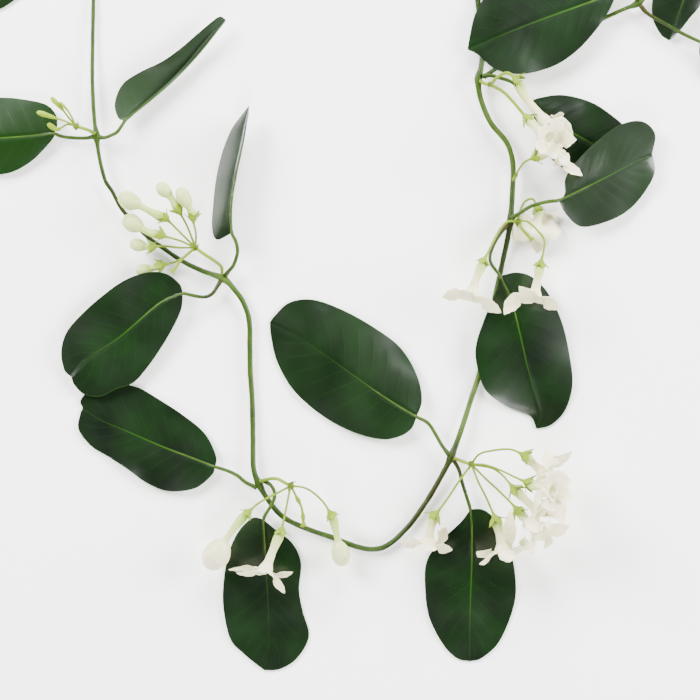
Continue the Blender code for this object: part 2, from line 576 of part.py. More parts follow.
def build_umbel(name, spec, carrier, material, collection, cutters):
    """Peduncle, hub, pedicels and calyces, grown together in one solid."""
    route = smooth_path([place(p) for p in spec["peduncle"]], ROUTE_STEPS)
    route = clear_of(route, carrier, KNOT_RADIUS + GAP + PEDUNCLE_RADIUS * TIGHT)
    route = resample(route, PEDUNCLE_ROWS)
    rings = round_rings(route, [PEDUNCLE_RADIUS] * PEDUNCLE_ROWS, TUBE_SIDES)
    stalk = loft(name, rings, material, collection)
    ball = bmesh.new()
    bmesh.ops.create_uvsphere(ball, u_segments=HUB_GRID[0], v_segments=HUB_GRID[1],
                              radius=HUB_RADIUS)
    bmesh.ops.translate(ball, verts=ball.verts, vec=route[-1])
    mesh = bpy.data.meshes.new(name + "_hub")
    ball.to_mesh(mesh)
    ball.free()
    hub = bpy.data.objects.new(name + "_hub", mesh)
    cutters.objects.link(hub)
    joined = [hub]
    for key, points in spec.get("pedicels", {}).items():
        path = smooth_path([place(p) for p in points], PEDICEL_ROWS)
        last = (path[-1] - path[-2]).normalized()
        neck = path[-1] - last * CALYX_LENGTH
        cup = CALYX_RADIUS if key else CALYX_RADIUS * BARE_CUP
        stalklet = [p for p in path[:-1] if (p - neck).length > CALYX_LENGTH * CUP_ROOM]
        radii = [PEDICEL_RADIUS] * len(stalklet) + [cup * share for _, share in CUP_PROFILE]
        path = stalklet + [neck.lerp(path[-1], t) for t, _ in CUP_PROFILE]
        joined.append(loft(name + "_" + (key or "bare"), round_rings(path, radii, TUBE_SIDES),
                           material, cutters))
    for number, (points, radius) in enumerate(spec.get("buds", [])):
        path = smooth_path([place(p) for p in points], TINY_BUD_ROWS)
        radii = [profile(TINY_BUD_PROFILE, i / (TINY_BUD_ROWS - 1)) * radius * MM
                 for i in range(TINY_BUD_ROWS)]
        joined.append(loft("%s_bud_%d" % (name, number), round_rings(path, radii, TUBE_SIDES),
                           material, cutters))
    unite(stalk, joined)
    return stalk


def build_bud(name, spec, material, collection):
    """One closed corolla: a tube and the egg-shaped head that its folded lobes make."""
    path = smooth_path([place(p) for p in spec["tube"]], BUD_ROWS)
    ahead = (path[-1] - path[-2]).normalized()
    head = spec["head"]
    length = spec["length"]
    reach = sum((b - a).length for a, b in zip(path, path[1:])) / MM
    neck = 1 - length / reach
    tip = path[-1] + ahead * length * MM
    whole = resample(path + [tip], BUD_ROWS)
    share = reach / (reach + length)
    radii = []
    for i in range(BUD_ROWS):
        t = i / (BUD_ROWS - 1)
        if t < neck * share:
            radii.append(profile(BUD_TUBE_PROFILE, t / (neck * share)) * MM)
        else:
            on_head = ((t / share - 1) * reach) / length
            inside = max(0.0, 1 - on_head * on_head)
            radii.append(max(BUD_TIP, head * math.sqrt(inside)) * MM)
    return loft(name, round_rings(whole, radii, TUBE_SIDES), material, collection)


def lobe_rings(root, tip, half, axis):
    """Lens-shaped sections of one lobe, from inside the tube's mouth to the tip."""
    spine = (tip - root).normalized()
    facing = axis + Vector((0, 0, LOBE_FACING))
    flat = (facing - spine * facing.dot(spine)).normalized()
    sideways = flat.cross(spine)
    rings = []
    for t, width in LOBE_PROFILE:
        centre = root.lerp(tip, t)
        wide = sideways * half * width
        rise = flat * LOBE_THICKNESS / 2 * min(1.0, width * 2)
        rings.append([centre - wide, centre - wide / 2 + rise, centre + wide / 2 + rise,
                      centre + wide, centre + wide / 2 - rise, centre - wide / 2 - rise])
    return rings


def build_flower(name, spec, material, collection, cutters):
    """Tube with the five lobes that spread from its mouth, grown together in one solid."""
    path = smooth_path([place(p) for p in spec["tube"]], TUBE_ROWS)
    radii = [profile(TUBE_PROFILE, i / (TUBE_ROWS - 1)) * MM for i in range(TUBE_ROWS)]
    tube = loft(name, round_rings(path, radii, CORE_SIDES), material, collection)
    axis = (path[-1] - path[-2]).normalized()
    mouth = path[-1] - axis * LOBE_THICKNESS
    tips = [place(t) for t in spec["tips"]]
    side, other = across(axis)
    azimuths = sorted((math.atan2((t - mouth).dot(other), (t - mouth).dot(side)), i)
                      for i, t in enumerate(tips))
    order = [tips[i] for _, i in azimuths]
    fifth = 2 * math.pi / LOBES
    turn = sum(angle - k * fifth for k, (angle, _) in enumerate(azimuths)) / LOBES
    rim = radii[-1] * LOBE_ROOT
    roots = [mouth + (side * math.cos(turn + fifth * k) + other * math.sin(turn + fifth * k)) * rim
             for k in range(LOBES)]
    joined = []
    for k in range(LOBES):
        rings = lobe_rings(roots[k], order[k], LOBE_WIDTH / 2, axis)
        joined.append(loft("%s_lobe_%d" % (name, k), rings, material, cutters))
    unite(tube, joined)
    return tube


def main():
    for old in list(bpy.data.objects):
        bpy.data.objects.remove(old, do_unlink=True)
    plant = bpy.data.collections.new("madagascar_jasmine")
    cutters = bpy.data.collections.new("cutters")
    bpy.context.scene.collection.children.link(plant)
    bpy.context.scene.collection.children.link(cutters)
    materials = {kind: make_material(kind) for kind in COLOURS}

    stem = stem_curve("stem_main", STEM_ROUTE, STEM_POINTS, STEM_RADIUS, materials["stem"], plant)
    shoot = smooth_path([place(p) for p in SHOOT_ROUTE], SHOOT_STEPS)
    clear_shoot = clear_of(shoot, stem, KNOT_RADIUS + GAP + SHOOT_RADIUS)
    rings = round_rings(resample(clear_shoot, SHOOT_POINTS), [SHOOT_RADIUS] * SHOOT_POINTS, TUBE_SIDES)
    loft("side_shoot", rings, materials["stem"], plant)
    carrier = smooth_path([place(p) for p in STEM_ROUTE], STEM_STEPS) + shoot
    for name, leaf in LEAVES.items():
        loft(name, leaf_rings(leaf, carrier), materials["leaf"], plant)
    for name, spec in HEADS.items():
        build_umbel(name, spec, carrier, materials["stalk"], plant, cutters)
    for name, spec in FLOWERS.items():
        build_flower(name, spec, materials["corolla"], plant, cutters)
    for name, spec in BUDS.items():
        build_bud(name, spec, materials["bud"], plant)


main()
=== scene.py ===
import functools
import math

import bmesh
import bpy
from mathutils import Matrix, Vector, noise


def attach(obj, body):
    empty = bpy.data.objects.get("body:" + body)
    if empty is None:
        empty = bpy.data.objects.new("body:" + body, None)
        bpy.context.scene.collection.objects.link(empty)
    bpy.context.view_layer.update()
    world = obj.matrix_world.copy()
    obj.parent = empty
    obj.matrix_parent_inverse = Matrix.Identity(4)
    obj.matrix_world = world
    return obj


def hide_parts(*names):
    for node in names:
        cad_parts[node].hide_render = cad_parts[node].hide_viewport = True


# A cut strand of madagascar jasmine on a pale table, seen from straight above.
# Routes give photo x, photo y and height in millimetres; everything is built in metres.

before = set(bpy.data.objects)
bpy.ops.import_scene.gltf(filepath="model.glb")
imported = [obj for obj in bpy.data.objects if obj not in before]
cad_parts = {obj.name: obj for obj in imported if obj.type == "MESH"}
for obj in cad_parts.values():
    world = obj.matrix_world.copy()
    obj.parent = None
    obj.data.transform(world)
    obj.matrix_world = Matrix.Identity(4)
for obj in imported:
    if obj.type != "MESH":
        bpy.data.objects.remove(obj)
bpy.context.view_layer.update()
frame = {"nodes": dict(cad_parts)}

mm = 0.001
photo = {
    "pixel": 0.5 * mm,              # real size of one photo pixel
    "origin": (350.4, 299.5),       # photo pixel above the model's origin
    "middle": (350, 350),           # the photo's own middle
    "side": 700,                    # pixels
}


def place(point):
    x, y, height = point
    return Vector(((x - photo["origin"][0]) * photo["pixel"],
                   (photo["origin"][1] - y) * photo["pixel"], height * mm))


def distances(points):              # how far along the path each of its points is
    reach = [0.0]
    for a, b in zip(points, points[1:]):
        reach.append(reach[-1] + (b - a).length)
    return reach


def resample(points, count):        # the same path with points at even distances
    reach = distances(points)
    result = []
    k = 0
    for i in range(count):
        wanted = reach[-1] * i / (count - 1)
        while k < len(points) - 2 and reach[k + 1] < wanted:
            k += 1
        span = reach[k + 1] - reach[k]
        share = (wanted - reach[k]) / span if span > 0 else 0.0
        result.append(points[k].lerp(points[k + 1], share))
    return result


def smoothPath(points, count):      # an even curve through the given points
    ends = [points[0] * 2 - points[1]] + points + [points[-1] * 2 - points[-2]]
    fine = []
    for before, start, stop, after in zip(ends, ends[1:], ends[2:], ends[3:]):
        for step in range(16):
            t = step / 16
            curve = start * 2 + (stop - before) * t
            curve += (before * 2 - start * 5 + stop * 4 - after) * t * t
            curve += (start * 3 - before - stop * 3 + after) * t * t * t
            fine.append(curve * 0.5)
    fine.append(points[-1])
    return resample(fine, count)


def routePath(route, count):        # an even curve along a route of photo points
    return smoothPath([place(p) for p in route], count)


def smooth(t):                      # 0 to 1 with a soft start and end
    return t * t * (3 - 2 * t)


def profile(stations, t):           # smooth value at t between (t, value) stations
    for (t0, v0), (t1, v1) in zip(stations, stations[1:]):
        if t <= t1:
            return v0 + (v1 - v0) * smooth(max(0.0, (t - t0) / (t1 - t0)))
    return stations[-1][1]


def profileRadii(stations, count):  # the same for each point of a path, from millimetres
    return [profile(stations, i / (count - 1)) * mm for i in range(count)]


def ease(point, thick):             # a sheet that thick near the table rests on it, never in it
    room = point.z / mm - thick
    if room < 1.1:
        point.z = (thick + 0.1 + math.exp(room - 1.1)) * mm
    return point


def settle(shell):                  # and no stray corner goes below the table
    for corner in shell.verts:
        corner.co.z = max(corner.co.z, 0.1 * mm)


def headings(path):
    return [(path[min(i + 1, len(path) - 1)] - path[max(i - 1, 0)]).normalized()
            for i in range(len(path))]


def levelSide(ahead):               # level direction square to a path
    side = ahead.cross(Vector((0, 0, 1)))
    return side.normalized() if side.length > 1e-6 else Vector((1, 0, 0))


def crossFrames(path):              # two directions square to the path at each of its points
    frames = []
    side = levelSide(headings(path)[0])
    for ahead in headings(path):
        side = (side - ahead * side.dot(ahead)).normalized()
        frames.append((side, ahead.cross(side)))
    return frames


def spoke(frame, angle):            # the direction at that angle between the two
    return frame[0] * math.cos(angle) + frame[1] * math.sin(angle)


# Materials

def hexColour(text):
    parts = [int(text[i:i + 2], 16) / 255 for i in (1, 3, 5)]
    return (*(c / 12.92 if c <= 0.04045 else ((c + 0.055) / 1.055) ** 2.4 for c in parts), 1.0)


def addNode(tree, kind, settings, output=0):
    # a setting is one of the node's own, a ramp's stops, or an input's value or source
    node = tree.nodes.new("ShaderNode" + kind)
    for name, value in settings.items():
        if name == "stops":
            elements = node.color_ramp.elements
            while len(elements) < len(value):
                elements.new(0.5)
            for element, (position, colour) in zip(elements, value):
                element.position = position
                element.color = hexColour(colour)
        elif isinstance(value, bpy.types.NodeSocket):
            tree.links.new(value, node.inputs[name])
        elif isinstance(name, str) and hasattr(node, name):
            setattr(node, name, value)
        else:
            node.inputs[name].default_value = value
    return node.outputs[output] if node.outputs else node


def startMaterial(name, patterns):
    # a material, addNode for its own tree, and its noise patterns, given as size in mm and detail
    material = bpy.data.materials.new(name)
    material.use_nodes = True
    material.node_tree.nodes.clear()
    add = functools.partial(addNode, material.node_tree)
    place3d = add("TexCoord", {}, "Object")
    noises = {key: add("TexNoise", {"Vector": place3d, "Scale": 1 / (size * mm), "Detail": detail})
              for key, (size, detail) in patterns.items()}
    return material, add, noises


def finishMaterial(material, add, heights, bumps, settings):
    # relief of the given heights, each with its strength and its depth in mm, then the shader
    normals = {}
    for key, (strength, depth) in bumps.items():
        normals["Normal"] = add("Bump", {"Height": heights[key], "Strength": strength,
                                         "Distance": depth * mm, **normals})
    if "Coat Weight" in settings:
        normals["Coat Normal"] = normals["Normal"]
    shader = add("BsdfPrincipled", {**settings, **normals})
    add("OutputMaterial", {"Surface": shader})
    return material


softStep = {"interpolation_type": "SMOOTHSTEP"}
softFall = {"interpolation_type": "SMOOTHSTEP", "To Min": 1.0, "To Max": 0.0}

leafLook = {
    "veins": 11,                    # side veins on each half
    "slant": 0.2,                   # how far they lean to the tip, in leaf lengths
    "curve": 0.8,                   # below 1 they bend forward as they go
    "stray": 0.06,                  # how far they stray from an even row, in leaf lengths
    "veinLine": 0.07,               # their width, as a share of the way between two
    "upper": ((0.3, "#020b02"), (0.5, "#051503"), (0.75, "#092106")),
    "lower": ((0.3, "#33501c"), (0.7, "#48662a")),
    "specks": ((0.35, "#b1b1b1"), (0.65, "#c5c5c5")),   # laid over the green; #bcbcbc is neutral
    "rib": "#284b08", "vein": "#1f4a10", "veinBelow": "#a3b878",
    "margin": "#1f3d0c",
    "sheen": "#22351b",             # painted grey sheen, a painted reflection on the leaves named below
    "bloom": {"leaf_03": 0.6, "leaf_04": 0.2, "leaf_11": 0.3, "leaf_14": 0.1},
    "fresh": "#0d2804",             # brighter green of the young leaves named below
    "young": {"leaf_01": 0.5, "leaf_02": 1.0, "leaf_03": 0.3, "leaf_08": 0.2},
    "roughness": (0.27, 0.37), "roughnessBelow": 0.6,
    "sheenRoughness": 0.25,         # what full painted sheen adds to it
    "wax": (0.24, 0.17),            # weight and roughness of the shiny layer on top
    "freshShare": 0.7, "sheenShare": 0.6, "speckShare": 0.5, "veinShare": 0.07,
    "veinShareBelow": 0.45,
    "patterns": {"blotch": (26, 3), "speck": (1.3, 2), "grain": (0.7, 2), "swell": (15, 0),
                 "drift": (30, 0)},
    "patternsBelow": {"blotch": (14, 3), "grain": (0.9, 3), "drift": (30, 0)},
    "bumps": {"grain": (0.08, 0.1), "veins": (0.2, 0.06), "swell": (0.15, 0.7)},
    "bumpsBelow": {"grain": (0.2, 0.15), "veins": (0.5, 0.3)},
}


def sideVeins(add, drift):          # thin lines that leave the midrib and lean to the tip
    along = add("Attribute", {"attribute_name": "along"}, "Fac")
    across = add("Attribute", {"attribute_name": "across"}, "Fac")
    across = add("Math", {"operation": "ABSOLUTE", 0: across})
    bent = add("Math", {"operation": "POWER", 0: across, 1: leafLook["curve"]})
    slanted = add("Math", {"operation": "MULTIPLY_ADD", 0: bent, 1: -leafLook["slant"], 2: along})
    wobble = add("Math", {"operation": "MULTIPLY_ADD", 0: drift, 1: leafLook["stray"], 2: slanted})
    count = add("Math", {"operation": "MULTIPLY", 0: wobble, 1: leafLook["veins"]})
    phase = add("Math", {"operation": "FRACT", 0: count})
    line = add("Math", {"operation": "SUBTRACT", 0: phase, 1: 0.5})
    line = add("Math", {"operation": "ABSOLUTE", 0: line})
    line = add("MapRange", {**softFall, "Value": line, "From Max": leafLook["veinLine"]})
    fade = add("MapRange", {**softFall, "Value": across, "From Min": 0.55, "From Max": 0.95})
    return add("Math", {"operation": "MULTIPLY", 0: line, 1: fade})


def waxyLeafCuticle():
    # Leaf cuticle, grown: thick wax over dark green gives broad soft highlights; on some leaves a
    # grey sheen is also painted into the colour
    material, add, noises = startMaterial("waxyLeafCuticle", leafLook["patterns"])
    mark = {name: add("Attribute", {"attribute_name": name}, "Fac")
            for name in ("along", "rib", "rim", "tone", "bloom")}
    noises["veins"] = sideVeins(add, noises["drift"])
    shares = [add("Math", {"operation": "MULTIPLY", 0: source, 1: leafLook[key]})
              for source, key in ((mark["tone"], "freshShare"), (mark["bloom"], "sheenShare"),
                                  (noises["veins"], "veinShare"))]
    specks = add("ValToRGB", {"Fac": noises["speck"], "stops": leafLook["specks"]})
    rim = add("MapRange", {**softStep, "Value": mark["rim"], "From Min": 0.1, "From Max": 0.5,
                           "To Min": 0.5, "To Max": 0.0})
    width = add("MapRange", {"Value": mark["along"], "To Min": 0.6, "To Max": 0.22})
    away = add("Math", {"operation": "DIVIDE", 0: mark["rib"], 1: width})
    inside = add("MapRange", {**softFall, "Value": away, "From Min": 0.4, "From Max": 1.2})
    fade = add("MapRange", {**softStep, "Value": mark["along"], "From Min": 0.1, "From Max": 0.9,
                            "To Min": 0.9, "To Max": 0.22})
    rib = add("Math", {"operation": "MULTIPLY", 0: inside, 1: fade})
    base = add("ValToRGB", {"Fac": noises["blotch"], "stops": leafLook["upper"]})
    # layers over the green: the young leaves' brighter green, a painted grey sheen, specks, side
    # veins, margin and midrib
    for kind, share, colour in (
            ("MIX", shares[0], hexColour(leafLook["fresh"])),
            ("MIX", shares[1], hexColour(leafLook["sheen"])),
            ("OVERLAY", leafLook["speckShare"], specks),
            ("MIX", shares[2], hexColour(leafLook["vein"])),
            ("MIX", rim, hexColour(leafLook["margin"])),
            ("MIX", rib, hexColour(leafLook["rib"]))):
        base = add("Mix", {"data_type": "RGBA", "blend_type": kind, 0: share, 6: base,
                           7: colour}, 2)
    low, high = leafLook["roughness"]
    wax = add("MapRange", {**softStep, "Value": noises["swell"], "From Min": 0.1, "From Max": 0.9,
                           "To Min": low, "To Max": high})
    # the wax is rougher where the grey sheen is painted
    wax = add("Math", {"operation": "MULTIPLY_ADD", 0: mark["bloom"],
                       1: leafLook["sheenRoughness"], 2: wax})
    coat, coatRoughness = leafLook["wax"]
    return finishMaterial(material, add, noises, leafLook["bumps"], {
        "Base Color": base, "Roughness": wax, "IOR": 1.45, "Specular IOR Level": 0.3,
        "Coat Weight": coat, "Coat Roughness": coatRoughness, "Sheen Weight": 0.04})


def mattLeafUnderside():
    # Leaf underside, grown without wax: pale and matt, with a raised net of veins
    material, add, noises = startMaterial("mattLeafUnderside", leafLook["patternsBelow"])
    base = add("ValToRGB", {"Fac": noises["blotch"], "stops": leafLook["lower"]})
    noises["veins"] = sideVeins(add, noises["drift"])
    pale = add("Math", {"operation": "MULTIPLY", 0: noises["veins"],
                        1: leafLook["veinShareBelow"]})
    base = add("Mix", {"data_type": "RGBA", 0: pale, 6: base,
                       7: hexColour(leafLook["veinBelow"])}, 2)
    return finishMaterial(material, add, noises, leafLook["bumpsBelow"], {
        "Base Color": base, "Roughness": leafLook["roughnessBelow"]})


barkLook = {
    "stem": ((0.0, "#3f531c"), (0.25, "#273c04"), (0.5, "#172903"), (0.75, "#202a03"),
             (1.0, "#2d2204")),
    "stalk": ((0.0, "#82990e"), (0.5, "#5a7004"), (1.0, "#2c3a03")),
    "shades": ((0.3, "#aaaaaa"), (0.7, "#cbcbcb")),
    "pore": "#5f7a34",
    "mottle": 0.45,                 # how far blotches shift the tone
    "shadeShare": 0.6,
    "roughness": 0.45,
    "ridge": {"stem": (0.25, 0.2), "stalk": (0.15, 0.2)},   # relief of the fibres
    "fibres": (14, 40, 1),          # across and along the stem's own map
    "patterns": {"blotch": (7, 3), "pore": (0.8, 1)},
}


def youngBark(name, part):
    # Green bark, grown: smooth skin with fine lengthwise fibres and small pores
    material, add, noises = startMaterial(name, barkLook["patterns"])
    blotch = add("Math", {"operation": "SUBTRACT", 0: noises["blotch"], 1: 0.5})
    tone = add("Attribute", {"attribute_name": "tone"}, "Fac")
    tone = add("Math", {"operation": "MULTIPLY_ADD", 0: blotch, 1: barkLook["mottle"], 2: tone})
    surface = add("UVMap", {"uv_map": "surface"})
    stretched = add("Mapping", {"Vector": surface, "Scale": barkLook["fibres"]})
    fibre = add("TexNoise", {"Vector": stretched, "Scale": 1.0, "Detail": 3.0})
    shades = add("ValToRGB", {"Fac": fibre, "stops": barkLook["shades"]})
    pores = add("MapRange", {**softStep, "Value": noises["pore"], "From Min": 0.66,
                             "From Max": 0.74, "To Max": 0.35})
    base = add("ValToRGB", {"Fac": tone, "stops": barkLook[part]})
    base = add("Mix", {"data_type": "RGBA", "blend_type": "OVERLAY", 0: barkLook["shadeShare"],
                       6: base, 7: shades}, 2)
    base = add("Mix", {"data_type": "RGBA", 0: pores, 6: base, 7: hexColour(barkLook["pore"])}, 2)
    return finishMaterial(material, add, {"fibre": fibre}, {"fibre": barkLook["ridge"][part]}, {
        "Base Color": base, "Roughness": barkLook["roughness"], "Specular IOR Level": 0.18})


petalLook = {
    "open": ((0.0, "#7d9a30"), (0.14, "#b3bf70"), (0.34, "#cfcb9d"), (0.6, "#dad5b0"),
             (1.0, "#dfdab9")),
    "bud": ((0.0, "#76961f"), (0.25, "#a9bb66"), (0.6, "#cdcd9c"), (1.0, "#dbd4b6")),
    "clouds": ((0.3, "#b5b5b5"), (0.7, "#c2c2c2")),
    "lime": "#9cb24e",              # green cast of the unripe buds
    "mottle": 0.12,                 # how far the cream's edge drifts along a petal
    "limeShare": 0.66, "cloudShare": 0.7,
    "roughness": 0.42,
    "streaks": (30, 3, 1),          # across and along a petal's own map
    "patterns": {"drift": (5, 2), "cloud": (3, 3), "grain": (0.6, 2)},
    "bumps": {"grain": (0.15, 0.1), "streak": (0.2, 0.2)},
}


def waxyPetal(name, part):
    # Petal tissue, grown: thick and waxy, so light spreads inside it and edges look soft;
    # cream white, but green where the tube leaves the calyx
    material, add, noises = startMaterial(name, petalLook["patterns"])
    drift = add("Math", {"operation": "SUBTRACT", 0: noises["drift"], 1: 0.5})
    along = add("Attribute", {"attribute_name": "along"}, "Fac")
    along = add("Math", {"operation": "MULTIPLY_ADD", 0: drift, 1: petalLook["mottle"], 2: along})
    tone = add("Attribute", {"attribute_name": "tone"}, "Fac")
    tone = add("Math", {"operation": "MULTIPLY", 0: tone, 1: petalLook["limeShare"]})
    clouds = add("ValToRGB", {"Fac": noises["cloud"], "stops": petalLook["clouds"]})
    base = add("ValToRGB", {"Fac": along, "stops": petalLook[part]})
    base = add("Mix", {"data_type": "RGBA", 0: tone, 6: base, 7: hexColour(petalLook["lime"])}, 2)
    base = add("Mix", {"data_type": "RGBA", "blend_type": "OVERLAY", 0: petalLook["cloudShare"],
                       6: base, 7: clouds}, 2)
    surface = add("UVMap", {"uv_map": "surface"})
    stretched = add("Mapping", {"Vector": surface, "Scale": petalLook["streaks"]})
    noises["streak"] = add("TexNoise", {"Vector": stretched, "Scale": 1.0, "Detail": 2.0})
    return finishMaterial(material, add, noises, petalLook["bumps"], {
        "Base Color": base, "Roughness": petalLook["roughness"], "Subsurface Weight": 0.35,
        "Subsurface Radius": (1.0, 0.9, 0.6), "Subsurface Scale": 1.2 * mm})


leafTop = waxyLeafCuticle()
leafUnder = mattLeafUnderside()
stemBark = youngBark("youngStemBark", "stem")
stalkSkin = youngBark("greenStalkSkin", "stalk")
petal = waxyPetal("waxyPetal", "open")
budSkin = waxyPetal("waxyBud", "bud")
print("materials made")


# Pieces

# marks on each corner; one is the share of painted grey sheen on a leaf
marks = ("along", "across", "rib", "rim", "tone", "bloom")


def startShell():
    shell = bmesh.new()
    shell.loops.layers.uv.new("surface")
    for name in marks:
        shell.verts.layers.float.new(name)
    return shell


def addSheet(shell, columns, rows, bend, material=0):
    # a grid of the unit square; bend(u, v) gives corner (u, v) its place and its marks
    corners = bmesh.ops.create_grid(shell, x_segments=columns, y_segments=rows, size=0.5,
                                    matrix=Matrix.Translation((0.5, 0.5, 0)),
                                    calc_uvs=True)["verts"]
    layers = shell.verts.layers.float
    for face in {face for corner in corners for face in corner.link_faces}:
        face.material_index = material
        face.smooth = True
    for corner in corners:
        corner.co, values = bend(corner.co.x, corner.co.y)
        for name, value in values.items():
            corner[layers[name]] = value
    return corners


def addBack(shell, faces, thickness, material=0):
    # a second layer behind the given faces, thinning out to nothing at their free edges
    shell.normal_update()
    made = bmesh.ops.duplicate(shell, geom=faces)["geom"]
    copies = [part for part in made if isinstance(part, bmesh.types.BMFace)]
    for corner in {corner for face in copies for corner in face.verts}:
        if not corner.is_boundary:
            corner.co -= corner.normal * thickness
    bmesh.ops.reverse_faces(shell, faces=copies)
    for face in copies:
        face.material_index = material
    rims = [corner for corner in shell.verts if corner.is_boundary]
    bmesh.ops.remove_doubles(shell, verts=rims, dist=1e-7)
    kept = {corner for corner in rims if corner.is_valid}
    for corner in kept:
        for edge in corner.link_edges:
            if edge.other_vert(corner) in kept:
                edge.smooth = False


def closeEnds(shell, corners):      # a cap on each open ring
    rings = {edge for corner in corners if corner.is_valid for edge in corner.link_edges
             if edge.is_boundary}
    for face in bmesh.ops.holes_fill(shell, edges=list(rings), sides=0)["faces"]:
        face.smooth = True


def addTube(shell, path, radii, sides, mark, material=0, ripple=0.0):
    # mark(v) gives the marks at v from start to end; ripple roughens the outline
    rows = len(path) - 1
    frames = crossFrames(path)

    def bend(u, v):
        i = round(v * rows)
        ray = spoke(frames[i], 2 * math.pi * u)
        point = path[i] + ray * radii[i]
        if ripple:
            point += ray * radii[i] * ripple * noise.noise(point * 260)
        return point, mark(v)

    corners = addSheet(shell, sides, rows, bend, material)
    bmesh.ops.remove_doubles(shell, verts=corners, dist=1e-6)
    closeEnds(shell, corners)


def addObject(name, data):
    thing = bpy.data.objects.new(name, data)
    bpy.context.scene.collection.objects.link(thing)
    return thing


def addMesh(shell, name, materials):
    mesh = bpy.data.meshes.new(name)
    shell.to_mesh(mesh)
    shell.free()
    for material in materials:
        mesh.materials.append(material)
    return addObject(name, mesh)


def finishPiece(shell, name, node, materials):
    piece = addMesh(shell, name, materials)
    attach(piece, "root")
    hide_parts(node)


# Main stem and side shoot

stemRoute = [
    (97, -72, 1.6), (95.5, -50, 2), (94, -20, 2), (93, 0, 2.2), (92.3, 40, 3), (92.2, 80, 4.5),
    (94, 115, 6), (96.5, 136, 6.5), (99.5, 158, 6.5), (105, 180, 6), (112, 191, 5.5),
    (121, 208, 4.5), (133, 222, 3.5), (147, 236.5, 3), (163, 248, 3), (182, 261, 3.5),
    (203, 271, 4.5), (223, 278.5, 5), (233, 288, 5), (243, 302, 4.3), (249, 320, 3.5),
    (249.7, 345, 3), (250, 370, 2.8), (252, 400, 2.8), (252.8, 435, 3.2), (253.5, 468, 4.5),
    (259, 484, 5), (268, 500, 4.6), (283, 517, 4), (307, 529, 3.2), (333, 538, 2.8),
    (357, 547, 2.8), (375, 549.5, 2.8), (390, 544, 2.8), (409, 526, 3), (427, 501, 3.4),
    (441, 477, 4.6), (451, 457, 5.2), (461, 431, 4.8), (471, 400, 3.4), (480, 372, 2.4),
    (491, 318, 2), (501, 270, 2.4), (507, 242, 4.2), (510.5, 220, 5.6), (512.4, 192, 6),
    (513, 165, 6), (507, 143, 5.5), (491, 123, 5.5), (481, 100, 6), (478, 80, 6.5), (481, 68, 6.2),
    (483, 50, 4), (482, 25, 2.8), (478, 0, 2.4), (475, -45, 1.8), (474, -70, 1.6),
]
shootRoute = [
    (484, 77, 7.5), (500, 66, 5.5), (525, 53, 3.4), (560, 38, 2.4), (590, 25, 2.6), (606, 17, 3.5),
    (625, 8.5, 5), (638, 3, 5.5), (650, -10, 5), (664, -32, 5), (676, -58, 5), (682, -68, 5),
]

stemLook = {
    "radius": ((0, 1.0), (0.2, 1.0), (0.3, 1.35), (1, 1.35)),   # mm; the upper left is thinner
    "shootRadius": ((0, 1.1), (1, 0.95)),
    "knotRadius": 2.0, "knotReach": 5.5,        # mm, swelling where leaves leave
    "knots": ((95.5, -50), (96.5, 136), (223, 278.5), (259, 484), (451, 457), (510.5, 220),
              (478, 79), (638, 3)),
    "sides": 16,
    "step": 1.6,                    # mm from ring to ring
    "ripple": 0.09,
    # route point and tone there: 0 pale green, 0.5 dark green, 1 olive brown
    "tones": ((0, 0.35), (8, 0.3), (10, 0.7), (12, 0.7), (15, 0.4), (17, 0.12), (20, 0.3),
              (26, 0.35), (31, 0.3), (33, 0.45), (35, 0.8), (37, 0.75), (38, 0.1), (41, 0.2),
              (43, 0.6), (45, 0.35), (46, 0.2), (49, 0.15), (51, 0.3), (52, 0.7), (55, 0.5)),
    "shootTones": ((0, 0.5), (3, 0.35), (7, 0.3), (11, 0.3)),
}


def buildStem(name, node, route, radius, tones):
    points = [place(p) for p in route]
    reach = distances(points)
    path = smoothPath(points, int(reach[-1] / (stemLook["step"] * mm)))
    stations = [(reach[index] / reach[-1], tone) for index, tone in tones]
    knots = [place((*spot, 0)) for spot in stemLook["knots"]]
    radii = profileRadii(radius, len(path))
    for i, point in enumerate(path):
        nearest = min(math.hypot(point.x - k.x, point.y - k.y) for k in knots)
        swell = math.exp(-(nearest / (stemLook["knotReach"] * mm)) ** 2 * 3)
        radii[i] += (stemLook["knotRadius"] * mm - radii[i]) * swell
    shell = startShell()
    addTube(shell, path, radii, stemLook["sides"],
            lambda v: {"tone": profile(stations, v), "along": v}, 0, stemLook["ripple"])
    finishPiece(shell, name, node, [stemBark])


buildStem("mainStem", "stem_main", stemRoute, stemLook["radius"], stemLook["tones"])
buildStem("sideShoot", "side_shoot", shootRoute, stemLook["shootRadius"], stemLook["shootTones"])
print("stems made")


# Leaves

